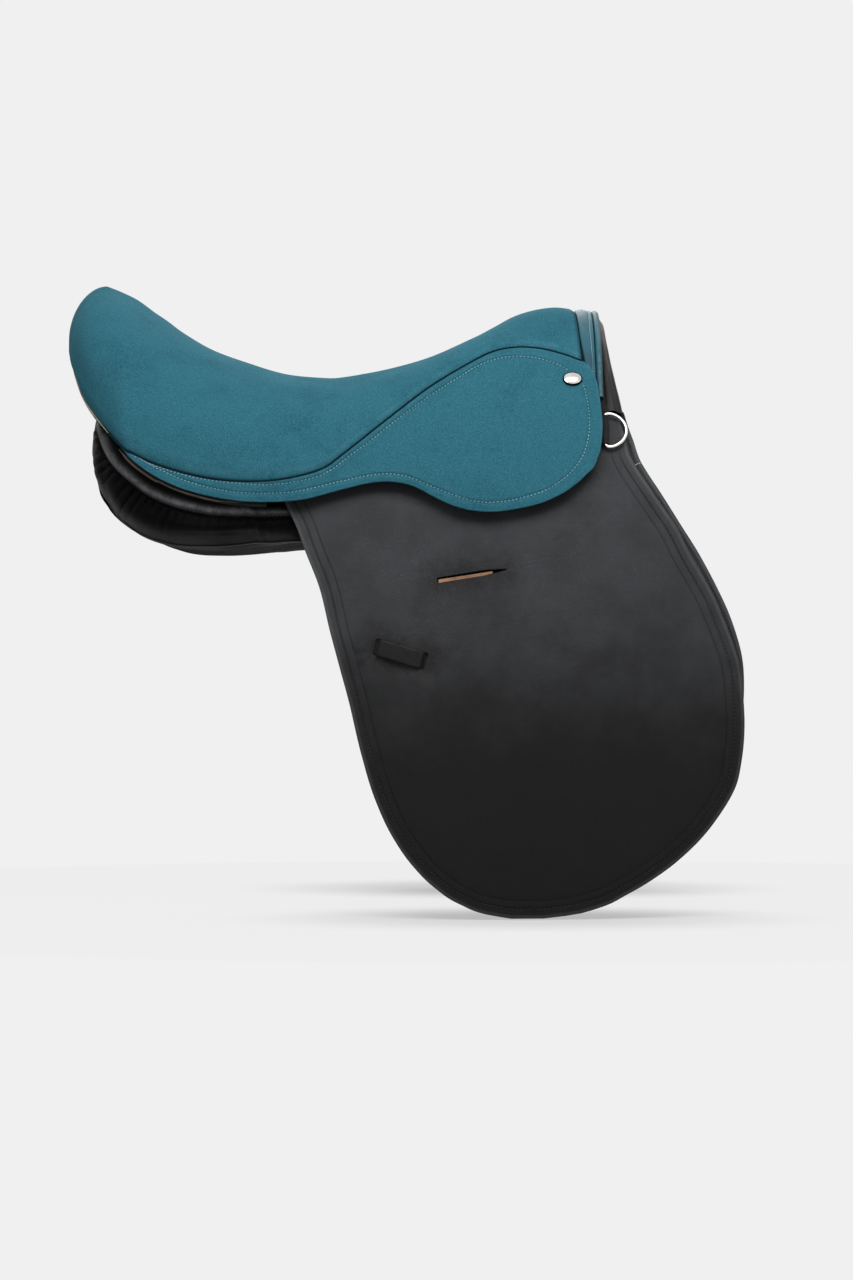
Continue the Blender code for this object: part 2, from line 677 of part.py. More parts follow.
def round_ring(points, parts=2):
    ring = []
    n = len(points)
    for k in range(n):
        a, b, c, d = [np.array(points[(k + j) % n]) for j in (-1, 0, 1, 2)]
        for part in range(parts):
            f = part / parts
            ring.append(b + 0.5 * f * (c - a) + f * f * (a - 2.5 * b + 2 * c - 0.5 * d)
                        + f ** 3 * (-0.5 * a + 1.5 * b - 1.5 * c + 0.5 * d))
    return ring


def panel_ring(x, side):
    out, top, shoulder, end, wide, bear, channel = [c(x) for c in panelCurves]
    middle = (shoulder + end) / 2

    def reach(z):
        return min(out, panel_limit(x, z))

    low = end + 0.012
    corners = [(PANEL_CHANNEL, top - 0.010), (min(0.070, 0.6 * reach(top)), top),
               (reach(shoulder) - 0.004, shoulder), (reach(middle), middle),
               (reach(low) - 0.006, low), (reach(end) - wide, end),
               (min(0.078, 0.6 * out), bear), (PANEL_CHANNEL, channel)]
    ring = []
    for y, z in round_ring(corners):
        ring.append(Vector((x, side * min(max(y, PANEL_CHANNEL - 0.004), panel_limit(x, z)), z)))
    return ring


def turned(frame, angle):
    return frame @ Matrix.Rotation(angle, 4, "Z")


def button(name, frame, wide, high, thick, kind):
    rings = []
    for share, rise in ((0.94, 0.0), (1.0, 0.3), (0.94, 0.65), (0.70, 0.9), (0.35, 1.0)):
        rings.append([frame @ Vector((share * wide * math.cos(a), share * high * math.sin(a),
                                      thick * rise)) for a in steps(0, 2 * math.pi, 20)[:-1]])
    points = [p for ring in rings for p in ring]
    faces = [list(range(20)), list(range(80, 100))]
    for i in range(4):
        for j in range(20):
            k = (j + 1) % 20
            faces.append([i * 20 + j, i * 20 + k, i * 20 + 20 + k, i * 20 + 20 + j])
    return body(name, points, faces, kind)


webBottom = BILLET_PIVOT + BILLET_WIDE / 2 + 0.0004
KEEPER_START = Vector((0.0351, -0.1141))
KEEPER_RUN = Vector((0.0419, -0.0123))
keeperSide = Vector((0.28, 0.96)) * 0.0068
SLIT_SLOPE = 0.163


def billet_place(x):
    half = BILLET_WIDE / 2

    def place(u, v):
        if v >= 0:
            angle = v * math.pi / 2
            z = BILLET_PIVOT + half * math.sin(angle)
            wide = max(half * math.cos(angle), 0.0004)
        else:
            z = BILLET_PIVOT + (BILLET_PIVOT - BILLET_END) * v
            wide = half if v > -0.93 else half * (1 + (v + 0.93) / 0.07 * 0.7)
        return x + (2 * u - 1) * wide, z
    return place


def keeper_place(u, v):
    spot = KEEPER_START + KEEPER_RUN * u + keeperSide * (2 * v - 1)
    return spot.x, spot.y


def keeper_level(u, v):
    edge = min(u, 1 - u)
    sink = min(max((0.09 - edge) / 0.06, 0), 1)
    rise = 0.0010 * math.sin(math.pi * u)
    return FLAP_OUT + 0.0004 + rise - sink * (FLAP_THICK - 0.0002)


def frame_slot(word, side):
    cutters = []
    for share in (0.0375, 0.9625):
        spot = KEEPER_START + KEEPER_RUN * share
        frame = turned(flank_frame(spot.x, spot.y, FLAP_OUT, side), -0.285)
        cutters.append(block("cut_slot_%s_%d" % (word, share > 0.5), (-0.0030, -0.0074, -0.009),
                             (0.0030, 0.0074, 0.006), frame, black))
    frame = turned(flank_frame(0.117, -0.053, FLAP_OUT, side), SLIT_SLOPE)
    slit = [(-0.031, -0.0026), (0.012, -0.0026), (0.031, -0.0004), (0.031, 0.0006),
            (0.012, 0.0024), (-0.031, 0.0024)]
    cutters.append(prism("cut_slit_" + word, slit, -0.009, 0.006, frame, black, smooth=False))
    return cutters, frame


for word, side in SIDES.items():
    loft("panel_" + word, [panel_ring(x, side) for x in PANEL_X], black, 0.0012)
    sheet("tree_point_" + word, side, rows(constant(HEAD_BACK + 0.001), constant(HEAD_FRONT - 0.001),
                                           [HEAD_END - 0.0042, 0.020, 0.010, 0.002]),
          steps(0, 1, 2), range(4), HEAD_OUT - HEAD_THICK + 0.001, HEAD_OUT - 0.0006, brown)
    sheet("billet_web_" + word, side, rows(constant(0.0560), constant(0.1740),
                                           [SHEET_TOP, 0.076, 0.067, webBottom]),
          steps(0, 1, 4), range(4), DEEP_IN, FLAP_IN - GAP, cloth)
    for place, x in BILLET_X.items():
        low, high = (DEEP_IN, DEEP_OUT) if place == "middle" else (NEAR_IN, NEAR_OUT)
        pivot = flank(x, BILLET_PIVOT, (low + high) / 2, side)
        down = [1, 0.7, 0.35, 0] + [-k / 9 for k in range(1, 9)] + [-0.93, -1]
        sheet("billet_%s_%s" % (place, word), side, billet_place(x), steps(0, 1, 2), down,
              low, high, black, pivot)
    columnsUnder = [-0.178, -0.168, -0.156, -0.142, -0.126, -0.108, -0.090, -0.070, -0.058]
    sheet("under_edge_" + word, side,
          columns(lambda x: skirtBottom(x) - 0.0042, lambda x: skirtBottom(x) + 0.010),
          columnsUnder, steps(0, 1, 2), SKIRT_IN - GAP - 0.0022, SKIRT_IN - GAP, brown)

    # Stirrup bar with its hinged catch.
    flat = flank_frame(BAR_X, BAR_Z, BAR_OUT, side)
    base = arch_point(BAR_X, arch_angle(BAR_Z, BAR_OUT), 0.0, side)
    deep = -(flank(BAR_X, BAR_Z, BAR_OUT, side) - base).length
    half = BAR_HIGH / 2
    back, ahead = BAR_BACK - BAR_X, BAR_FRONT - BAR_X
    hang = PIVOT_X - BAR_X
    inner = -BAR_THICK
    bar = block("stirrup_bar_" + word, (back, -half, inner), (ahead, half, 0), flat, steel)
    joins = [
        block("join_arm_" + word, (ahead - 0.010, -half + 0.0005, deep + 0.0010),
              (ahead - 0.0005, half - 0.0005, -0.001), flat, steel),
        block("join_plate_" + word, (-0.040, -0.0066, deep + 0.0003), (0.074, 0.0090, deep + 0.0028),
              flat, steel),
        block("join_tongue_" + word, (hang - 0.004, -0.0045, inner + 0.0024),
              (back + 0.001, 0.0045, -0.0003), flat, steel),
        prism("join_pin_" + word, disc(0.0011, 12, (hang, 0)), inner + 0.0003, inner + 0.0034,
              flat, steel),
    ]
    combine(bar, joins, "UNION")
    settle(bar, joins)
    pivot = flat @ Vector((hang, 0, inner + 0.0010))
    shape = ([(hang + 0.0045 * math.cos(a), 0.0045 * math.sin(a))
              for a in steps(-math.pi / 2, math.pi / 2, 8)]
             + [(hang - 0.013, 0.0045), (hang - 0.015, 0.0030), (hang - 0.015, -0.0045)])
    catch = prism("bar_catch_" + word, shape, inner, inner + 0.0020, flat, steel, pivot)
    hole = prism("cut_hole_" + word, disc(0.0014, 12, (hang, 0)), inner - 0.001, inner + 0.003,
                 flat, steel)
    combine(catch, [hole], "DIFFERENCE")
    settle(catch, [hole])

    # D-ring in its leather loop.
    bore = RING_WIRE + 0.0003
    round_out = bore + CHAPE_THICK
    ringLevel = FLAP_OUT + 0.0003 + round_out
    flat = flank_frame(RING_X, RING_Z, ringLevel, side)
    stem = [(0, v) for v in steps(-RING_HALF, RING_HALF, 4)]
    bow = [(RING_REACH * math.sin(a), RING_HALF * math.cos(a)) for a in steps(0, math.pi, 14)]
    path = [flat @ Vector((a, b, 0)) for a, b in stem + bow[1:-1]]
    tube("d_ring_" + word, path, RING_WIRE, chrome, closed=True, origin=flat @ Vector((0, 0, 0)))
    edge = flat @ Matrix(((1, 0, 0, 0), (0, 0, 1, 0), (0, 1, 0, 0), (0, 0, 0, 1)))
    shape = ([(-0.016, -round_out)]
             + [(round_out * math.cos(a), round_out * math.sin(a))
                for a in steps(-math.pi / 2, math.radians(115), 12)]
             + [(-0.006, -0.0012), (-0.016, -0.0016)])
    tall = CHAPE_HIGH / 2
    chape = prism("d_ring_chape_" + word, shape, -tall, tall, edge, black)
    hole = prism("cut_bore_" + word, disc(bore, 14), -tall - 0.002, tall + 0.002, edge, black)
    combine(chape, [hole], "DIFFERENCE")
    settle(chape, [hole])

    button("skirt_nail_" + word, flank_frame(0.2053, 0.1184, SKIRT_OUT + 0.0003, side),
           0.0082, 0.0061, 0.0030, chrome)

    # Keeper for the stirrup leather's end, and the slit, on the moving flap.
    cutters, frame = frame_slot(word, side)
    flap = bpy.data.objects["flap_" + word]
    combine(flap, cutters, "DIFFERENCE")
    settle(flap, cutters)
    sheet("keeper_" + word, side, keeper_place, [0, 0.03, 0.09, 0.2, 0.35, 0.5, 0.65, 0.8, 0.91, 0.97, 1],
          steps(0, 1, 2), keeper_level, lambda u, v: keeper_level(u, v) + 0.0022, black)
    lip = [(-0.030, -0.0022), (0.011, -0.0022), (0.0185, -0.0014), (0.0185, 0.0006),
           (-0.030, 0.0006)]
    prism("slit_lip_" + word, lip, 0.0004 - FLAP_THICK, -0.0006, frame, raw, smooth=False)

# Cantle: a thin piping under the seat's rim and the leather that closes the back.
def rim_point(s, side, down, inward):
    rim = seat_skin(s, side)
    above = seat_skin(s, side * 0.97)
    fall = (rim - above).normalized()
    top = seat_skin(s, side * 0.001)
    out = Vector((rim.x - top.x, rim.y - top.y, 0)).normalized()
    return rim + fall * down - out * inward


around = [(s, -1) for s in steps(0.80, 1, 8)] + [(s, 1) for s in reversed(steps(0.80, 1, 8)[:-1])]
tube("cantle_piping", [rim_point(s, side, 0.0019, 0.0012) for s, side in around], 0.0015, cream,
     around=6)
around = [(s, -1) for s in steps(0.88, 1, 6)] + [(s, 1) for s in reversed(steps(0.88, 1, 6)[:-1])]
outer = []
inner = []
for s, side in around:
    top = rim_point(s, side, 0.0040, 0.0020)
    low = Vector((-0.2150, top.y * 0.80, 0.1000))
    outer.append([top.lerp(low, f) + Vector((-0.004 * math.sin(math.pi * f), 0, 0))
                  for f in (0, 0.3, 0.6, 1)])
    inner.append([p + Vector((0.0022, 0, 0)) for p in outer[-1]])
shell("cantle_facing", outer, inner, black)
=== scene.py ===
import math

import bmesh
import bpy
import numpy as np
from mathutils import Matrix, Vector
from mathutils import noise as pointNoise
from mathutils.geometry import delaunay_2d_cdt
from mathutils.kdtree import KDTree


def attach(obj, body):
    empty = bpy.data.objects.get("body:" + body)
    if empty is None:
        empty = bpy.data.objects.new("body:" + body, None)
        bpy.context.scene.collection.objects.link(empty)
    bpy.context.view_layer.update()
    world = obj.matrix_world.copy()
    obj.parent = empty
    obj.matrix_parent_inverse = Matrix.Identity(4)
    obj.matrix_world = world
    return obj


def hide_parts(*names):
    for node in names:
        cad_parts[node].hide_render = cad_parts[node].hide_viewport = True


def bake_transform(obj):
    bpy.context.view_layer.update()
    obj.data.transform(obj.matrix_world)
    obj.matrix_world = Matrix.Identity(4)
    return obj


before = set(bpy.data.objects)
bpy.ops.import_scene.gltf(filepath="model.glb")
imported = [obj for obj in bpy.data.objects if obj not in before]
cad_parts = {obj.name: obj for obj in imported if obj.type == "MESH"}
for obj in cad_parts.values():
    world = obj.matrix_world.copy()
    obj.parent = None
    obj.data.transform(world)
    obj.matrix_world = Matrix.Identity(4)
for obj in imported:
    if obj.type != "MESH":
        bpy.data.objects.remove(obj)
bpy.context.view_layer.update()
print("frame loaded:", len(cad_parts), "nodes")

# Metres, +X towards the pommel, +Y the horse's left, +Z up, as in the CAD part.
sides = {"right": -1, "left": 1}

# Camera first: level, square to the near flap
camera = {"x": 0.0783, "far": 2.6, "z": -0.1086, "perPixel": 0.000905, "tall": 1280, "sensor": 36.0}

eye = bpy.data.cameras.new("camera")
eye.sensor_width = camera["sensor"]
eye.lens = camera["sensor"] * camera["far"] / (camera["tall"] * camera["perPixel"])
eyeObject = bpy.data.objects.new("camera", eye)
eyeObject.location = (camera["x"], -camera["far"], camera["z"])
eyeObject.rotation_euler = (math.radians(90), 0, 0)
bpy.context.scene.collection.objects.link(eyeObject)
bpy.context.scene.camera = eyeObject


# Materials
def linear(r, g, b):
    # colour as a picture editor shows it, 0 to 255, to the shader's own scale
    out = []
    for c in (r, g, b):
        c = c / 255
        out.append(c / 12.92 if c <= 0.04045 else ((c + 0.055) / 1.055) ** 2.4)
    return (*out, 1.0)


def newGroup(name, inputs, outputs):
    group = bpy.data.node_groups.new(name, "ShaderNodeTree")
    for label, kind, value in inputs:
        socket = group.interface.new_socket(label, in_out="INPUT", socket_type=kind)
        if value is not None:
            socket.default_value = value
    for label, kind in outputs:
        group.interface.new_socket(label, in_out="OUTPUT", socket_type=kind)
    start = group.nodes.new("NodeGroupInput")
    end = group.nodes.new("NodeGroupOutput")
    return group, start, end


def feed(tree, socket, value):
    # another node's output is linked, and anything else is set on the socket
    if isinstance(value, bpy.types.NodeSocket):
        tree.links.new(value, socket)
    else:
        socket.default_value = value


def node(tree, kind, links=None, **settings):
    made = tree.nodes.new(kind)
    for key, value in settings.items():
        setattr(made, key, value)
    for key, value in (links or {}).items():
        feed(tree, made.inputs[key], value)
    return made


def mixColour(tree, factor, a, b):
    return node(tree, "ShaderNodeMix", {0: factor, 6: a, 7: b}, data_type="RGBA").outputs[2]


def maths(tree, operation, a, b=0.0, c=0.0, clamp=False):
    made = node(tree, "ShaderNodeMath", {0: a, 1: b, 2: c}, operation=operation, use_clamp=clamp)
    return made.outputs[0]


def spread(tree, value, low, high, first=0.0, last=1.0):
    # a smooth rise from the first value to the last, between low and high
    made = node(tree, "ShaderNodeMapRange", {"Value": value, "From Min": low, "From Max": high,
                                             "To Min": first, "To Max": last},
                interpolation_type="SMOOTHSTEP")
    return made.outputs[0]


def noise(tree, where, scale, detail=3.0, rough=0.55):
    return node(tree, "ShaderNodeTexNoise",
                {"Vector": where, "Scale": scale, "Detail": detail, "Roughness": rough})


# Leather grain: rounded pebbles with creases between them, over broad stretch marks.
grain, gIn, gOut = newGroup("leatherGrain", [
    ("Size", "NodeSocketFloat", 900.0), ("Depth", "NodeSocketFloat", 1.0)],
    [("Height", "NodeSocketFloat"), ("Mottle", "NodeSocketFloat")])
place = node(grain, "ShaderNodeTexCoord").outputs["Object"]
warp = noise(grain, place, 60.0, 2.0)
bent = node(grain, "ShaderNodeVectorMath", {0: warp.outputs["Color"], 1: (0.004, 0.004, 0.004)},
            operation="MULTIPLY")
moved = node(grain, "ShaderNodeVectorMath", {0: place, 1: bent.outputs[0]}, operation="ADD")
cells = node(grain, "ShaderNodeTexVoronoi", {"Vector": moved.outputs[0], "Scale": gIn.outputs["Size"]},
             feature="DISTANCE_TO_EDGE")
pebble = spread(grain, cells.outputs["Distance"], 0.0, 0.22)
fine = noise(grain, moved.outputs[0], 2600.0, 2.0)
broad = noise(grain, place, 22.0, 4.0, 0.6)
height = maths(grain, "MULTIPLY", maths(grain, "ADD", pebble, maths(
    grain, "MULTIPLY", fine.outputs["Fac"], 0.6)), gIn.outputs["Depth"])
grain.links.new(height, gOut.inputs["Height"])
grain.links.new(broad.outputs["Fac"], gOut.inputs["Mottle"])

# Suede nap: short fibres brushed in patches, so that it looks cloudy from a step away.
nap, nIn, nOut = newGroup("suedeNap", [("Scale", "NodeSocketFloat", 1.0)],
                          [("Height", "NodeSocketFloat"), ("Cloud", "NodeSocketFloat"),
                           ("Fleck", "NodeSocketFloat"), ("Speck", "NodeSocketFloat")])
place = node(nap, "ShaderNodeTexCoord").outputs["Object"]
scaled = node(nap, "ShaderNodeVectorMath", {0: place, "Scale": nIn.outputs["Scale"]},
              operation="SCALE").outputs[0]
fibre = noise(nap, scaled, 2400.0, 3.0, 0.7)
tuft = noise(nap, scaled, 980.0, 3.0, 0.62)
cloud = noise(nap, scaled, 30.0, 5.0, 0.70)
patch = noise(nap, scaled, 7.0, 3.0, 0.5)
both = maths(nap, "ADD", maths(nap, "MULTIPLY", cloud.outputs["Fac"], 0.55),
             maths(nap, "MULTIPLY", patch.outputs["Fac"], 0.45))
nap.links.new(maths(nap, "ADD", fibre.outputs["Fac"], tuft.outputs["Fac"]), nOut.inputs["Height"])
nap.links.new(both, nOut.inputs["Cloud"])
nap.links.new(tuft.outputs["Fac"], nOut.inputs["Fleck"])
nap.links.new(noise(nap, scaled, 1900.0, 2.0, 0.7).outputs["Fac"], nOut.inputs["Speck"])

# Wear: a mask that is strongest on convex edges and breaks up in patches.
wear, wIn, wOut = newGroup("edgeWear", [("Edge", "NodeSocketFloat", 0.0)],
                           [("Mask", "NodeSocketFloat")])
place = node(wear, "ShaderNodeTexCoord").outputs["Object"]
broken = noise(wear, place, 55.0, 4.0, 0.7)
scuff = noise(wear, place, 400.0, 3.0, 0.7)
mask = maths(wear, "MULTIPLY", wIn.outputs["Edge"],
             spread(wear, maths(wear, "ADD", broken.outputs["Fac"], maths(
                 wear, "MULTIPLY", scuff.outputs["Fac"], 0.3)), 0.5, 0.8), clamp=True)
wear.links.new(mask, wOut.inputs["Mask"])


def material(name):
    made = bpy.data.materials.new(name)
    made.use_nodes = True
    tree = made.node_tree
    return made, tree, tree.nodes["Principled BSDF"]


def useGroup(tree, group, **values):
    return node(tree, "ShaderNodeGroup", values, node_tree=group)


def bumped(tree, shader, height, strength, distance):
    bump = node(tree, "ShaderNodeBump", {"Height": height, "Strength": strength, "Distance": distance})
    tree.links.new(bump.outputs["Normal"], shader.inputs["Normal"])


def painted(tree, name):
    # what the mesh was given as it was made: edge for rubbed places (on the panel's rolled band a painted
    # highlight), painted shade for seams and grooves, polish for shine
    return node(tree, "ShaderNodeAttribute", attribute_name=name).outputs["Fac"]


def withPaintedShade(tree, base):
    # painted shade: near black mixed into the colour in seams, gathers and stitch grooves, where shade falls
    amount = maths(tree, "MULTIPLY", painted(tree, "paintedShade"), 0.88, clamp=True)
    return mixColour(tree, amount, base, (0.002, 0.002, 0.002, 1.0))


def suedeMaterial(name, colour, light, dark, fuzz=0.35):
    made, tree, shader = material(name)
    fluff = useGroup(tree, nap, Scale=1.0)
    tone = spread(tree, fluff.outputs["Cloud"], 0.22, 0.58)
    base = mixColour(tree, tone, linear(*dark), linear(*colour))
    fleck = spread(tree, fluff.outputs["Fleck"], 0.40, 0.66)
    base = mixColour(tree, maths(tree, "MULTIPLY", fleck, 0.55), base, linear(*light))
    speck = spread(tree, fluff.outputs["Speck"], 0.44, 0.58)
    base = mixColour(tree, maths(tree, "MULTIPLY", speck, 0.40), base, linear(*dark))
    rub = useGroup(tree, wear, Edge=painted(tree, "edge"))
    base = mixColour(tree, maths(tree, "MULTIPLY", rub.outputs["Mask"], 0.6), base, linear(*light))
    tree.links.new(withPaintedShade(tree, base), shader.inputs["Base Color"])
    shader.inputs["Roughness"].default_value = 0.96
    shader.inputs["Specular IOR Level"].default_value = 0.15
    shader.inputs["Sheen Weight"].default_value = fuzz
    shader.inputs["Sheen Roughness"].default_value = 0.45
    shader.inputs["Sheen Tint"].default_value = linear(*light)
    bumped(tree, shader, fluff.outputs["Height"], 0.55, 0.00035)
    return made


def leatherMaterial(name, colour, wearAndHighlight, rough=0.46, size=900.0, depth=1.0, shine=0.35, bump=0.5,
                    vary=0.10, low=None, polished=False):
    made, tree, shader = material(name)
    skin = useGroup(tree, grain, Size=size, Depth=depth)
    rub = useGroup(tree, wear, Edge=painted(tree, "edge"))
    darker = linear(*[c * (1 - vary) for c in colour])
    lighter = linear(*[c * (1 + vary) for c in colour])
    base = mixColour(tree, spread(tree, skin.outputs["Mottle"], 0.35, 0.65), darker, lighter)
    if low is not None:
        # painted shade: the lower part is given a darker colour, so that it reads as less lit than the upper
        # part
        where = node(tree, "ShaderNodeTexCoord").outputs["Object"]
        height = node(tree, "ShaderNodeSeparateXYZ", {"Vector": where}).outputs["Z"]
        uneven = maths(tree, "MULTIPLY", maths(tree, "SUBTRACT", skin.outputs["Mottle"], 0.5), 0.08)
        clearOfPaintedShade = spread(tree, maths(tree, "ADD", height, uneven), -0.225, -0.050)
        base = mixColour(tree, clearOfPaintedShade, linear(*low), base)
    # paler where rubbed; on the panel's rolled band this paler colour is a painted highlight
    base = mixColour(tree, maths(tree, "MULTIPLY", rub.outputs["Mask"], 0.7), base, linear(*wearAndHighlight))
    tree.links.new(withPaintedShade(tree, base), shader.inputs["Base Color"])
    gloss = maths(tree, "ADD", spread(tree, skin.outputs["Mottle"], 0.3, 0.7, rough + 0.05, rough - 0.05),
                  maths(tree, "MULTIPLY", rub.outputs["Mask"], 0.12))
    tree.links.new(gloss, shader.inputs["Roughness"])
    if polished:
        shine = maths(tree, "MULTIPLY_ADD", painted(tree, "polish"), 0.7, shine)
    feed(tree, shader.inputs["Specular IOR Level"], shine)
    bumped(tree, shader, skin.outputs["Height"], bump, 0.00022)
    return made


def metalMaterial(name, colour, rough, scratch=0.04):
    made, tree, shader = material(name)
    where = node(tree, "ShaderNodeTexCoord").outputs["Object"]
    smear = noise(tree, where, 120.0, 4.0, 0.7)
    shader.inputs["Metallic"].default_value = 1.0
    base = mixColour(tree, spread(tree, smear.outputs["Fac"], 0.4, 0.6), linear(*colour),
                     linear(*[c * 0.93 for c in colour]))
    tree.links.new(base, shader.inputs["Base Color"])
    tree.links.new(spread(tree, smear.outputs["Fac"], 0.35, 0.7, rough, rough + scratch),
                   shader.inputs["Roughness"])
    fineLines = noise(tree, where, 1500.0, 2.0)
    bumped(tree, shader, fineLines.outputs["Fac"], 0.06, 0.0001)
    return made


def woodMaterial():
    made, tree, shader = material("laminatedBeech")
    where = node(tree, "ShaderNodeTexCoord").outputs["Object"]
    stretched = node(tree, "ShaderNodeMapping", {"Vector": where, "Scale": (6.0, 40.0, 90.0)})
    rings = noise(tree, stretched.outputs[0], 6.0, 5.0, 0.6)
    layers = node(tree, "ShaderNodeTexWave", {"Vector": where, "Scale": 130.0, "Distortion": 1.5,
                                              "Detail": 2.0}, bands_direction="Z")
    base = mixColour(tree, spread(tree, rings.outputs["Fac"], 0.35, 0.65), linear(186, 143, 96),
                     linear(206, 167, 118))
    base = mixColour(tree, maths(tree, "MULTIPLY", layers.outputs["Fac"], 0.35), base,
                     linear(150, 108, 68))
    tree.links.new(base, shader.inputs["Base Color"])
    shader.inputs["Roughness"].default_value = 0.55
    bumped(tree, shader, rings.outputs["Fac"], 0.2, 0.0002)
    return made


def webbingMaterial(name, colour, dark, fine=1.0):
    made, tree, shader = material(name)
    where = node(tree, "ShaderNodeTexCoord").outputs["Object"]
    long = node(tree, "ShaderNodeTexWave", {"Vector": where, "Scale": 160.0 * fine, "Distortion": 0.6},
                bands_direction="X")
    cross = node(tree, "ShaderNodeTexWave", {"Vector": where, "Scale": 160.0 * fine, "Distortion": 0.6},
                 bands_direction="Y")
    weave = maths(tree, "MAXIMUM", long.outputs["Fac"], cross.outputs["Fac"])
    base = mixColour(tree, weave, linear(*dark), linear(*colour))
    tree.links.new(base, shader.inputs["Base Color"])
    shader.inputs["Roughness"].default_value = 0.9
    bumped(tree, shader, weave, 0.6, 0.0004)
    return made


finish = {
    "suede": suedeMaterial("suedeTeal", (49, 113, 131), (84, 150, 165), (24, 80, 99)),
    "teal": leatherMaterial("smoothTealLeather", (42, 92, 107), (96, 142, 152), rough=0.42,
                            size=1100.0, depth=0.7, shine=0.3, bump=0.35),
    "black": leatherMaterial("blackLeather", (42, 42, 43), (78, 77, 77), rough=0.48, size=820.0,
                             depth=1.3, shine=0.12, bump=0.9, vary=0.06, polished=True),
    # low is the painted shade colour of the flap's lower part
    "flap": leatherMaterial("flapLeather", (73, 74, 77), (96, 96, 97), rough=0.48, size=820.0, depth=1.3,
                            shine=0.12, bump=0.9, vary=0.05, low=(34, 34, 34), polished=True),
    # the seat welt's near-black teal is painted shade
    "seam": leatherMaterial("darkTealSeamShade", (8, 36, 46), (30, 84, 98), rough=0.8, size=1800.0, shine=0.1),
    # the panel's second colour is a painted highlight for its rolled band
    "panel": leatherMaterial("blackPanelLeather", (14, 14, 15), (128, 130, 136), rough=0.55, size=1300.0,
                             depth=0.7, shine=0.03, bump=0.35, vary=0.2, polished=True),
    "facing": leatherMaterial("darkFacingLeather", (34, 33, 33), (84, 60, 48), rough=0.40, size=1100.0,
                              depth=0.8, shine=0.25, bump=0.4, vary=0.25),
    "russet": leatherMaterial("russetEdgeLeather", (64, 44, 40), (120, 86, 74), rough=0.40, size=900.0,
                              shine=0.4, vary=0.25),
    "brown": leatherMaterial("rawEdgeLeather", (92, 74, 66), (158, 146, 138), rough=0.45, size=900.0,
                             vary=0.25),
    "raw": leatherMaterial("cutLeather", (176, 128, 100), (200, 160, 130), rough=0.7, size=1500.0,
                           shine=0.25, vary=0.16),
    "cream": leatherMaterial("creamPiping", (206, 196, 172), (225, 216, 196), rough=0.6, size=1400.0,
                             depth=0.6, shine=0.3),
    "thread": leatherMaterial("tealThread", (150, 200, 210), (170, 212, 220), rough=0.75, size=2600.0,
                              depth=1.2, shine=0.25),
    "blackThread": leatherMaterial("blackThread", (60, 59, 58), (84, 82, 80), rough=0.6, size=2600.0,
                                   depth=1.2, shine=0.4),
    "chrome": metalMaterial("chromePlate", (232, 230, 226), 0.12),
    # painted shade for the dark rim round the nail
    "shadow": leatherMaterial("nailRimShade", (9, 12, 14), (30, 40, 44), rough=0.7, size=1500.0, shine=0.1),
    "steel": metalMaterial("treeSteel", (134, 135, 138), 0.34, 0.12),
    "wood": woodMaterial(),
    "webbing": webbingMaterial("treeWebbing", (184, 170, 134), (128, 114, 84)),
    "canvas": webbingMaterial("seatCanvas", (196, 186, 160), (150, 138, 112), 3.0),
    "felt": webbingMaterial("padFelt", (40, 52, 56), (24, 34, 38), 5.0),
    "foam": webbingMaterial("seatFoam", (214, 200, 150), (190, 172, 122), 5.0),
}
print("materials made:", len(finish))


# The flank that every hanging sheet follows, and the levels of the layers above it
flankShape = {"half": 0.160, "high": 0.415, "centre": -0.250, "taper": 0.30}
level = {"sweat": 0.0030, "deepIn": 0.0035, "deepOut": 0.0063, "nearIn": 0.0068,
         "nearOut": 0.0096, "flapIn": 0.0109, "flap": 0.0144, "skirtIn": 0.0244, "skirt": 0.0278,
         "stripIn": 0.0209, "strip": 0.0239}


def archPoints(x, angle, t):
    # flank points for the near side of the section, as arrays; y is the distance from the midplane
    sin, cos = np.sin(angle), np.cos(angle)
    ny, nz = sin / flankShape["half"], cos / flankShape["high"]
    size = np.sqrt(ny ** 2 + nz ** 2)
    y = (flankShape["half"] * sin + t * ny / size) * (1 - flankShape["taper"] * x)
    z = flankShape["centre"] + flankShape["high"] * cos + t * nz / size
    return np.stack([x + 0 * y, y, z], axis=-1)


def archAngle(z, t):
    z, t = np.broadcast_arrays(np.asarray(z, float), np.asarray(t, float))
    low, high = np.zeros(z.shape), np.full(z.shape, 2.6)
    for _ in range(40):
        mid = (low + high) / 2
        above = archPoints(0.0, mid, t)[..., 2] > z
        low, high = np.where(above, mid, low), np.where(above, high, mid)
    return (low + high) / 2


def flankPoints(xz, t, side):
    xz = np.asarray(xz, float)
    t = np.broadcast_to(np.asarray(t, float), xz.shape[:-1])
    points = archPoints(xz[..., 0], archAngle(xz[..., 1], t), t)
    points[..., 1] *= side
    return points


def flankFrame(x, z, t, side):
    here = Vector(flankPoints((x, z), t, side))
    along = (Vector(flankPoints((x + 0.01, z), t, side)) - here).normalized()
    up = (Vector(flankPoints((x, z + 0.002), t, side)) - Vector(flankPoints((x, z - 0.002), t, side)))
    out = along.cross(up.normalized())
    if out.y * side < 0:
        out = -out
    out.normalize()
    up = (up - along * up.dot(along)).normalized()
    return Matrix.Translation(here) @ Matrix((along, up, out)).transposed().to_4x4()


def smoothLine(points):
    # a smooth curve through (place, value) pairs, as a function of place
    place = np.array([p[0] for p in points], float)
    value = np.array([p[1] for p in points], float)
    order = np.argsort(place)
    place, value = place[order], value[order]
    slope = np.gradient(value, place)

    def at(x):
        x = np.clip(x, place[0], place[-1])
        k = np.clip(np.searchsorted(place, x, side="right") - 1, 0, len(place) - 2)
        h = place[k + 1] - place[k]
        f = (x - place[k]) / h
        return (value[k] * (1 + 2 * f) * (1 - f) ** 2 + h * slope[k] * f * (1 - f) ** 2
                + value[k + 1] * f * f * (3 - 2 * f) + h * slope[k + 1] * f * f * (f - 1))

    return at


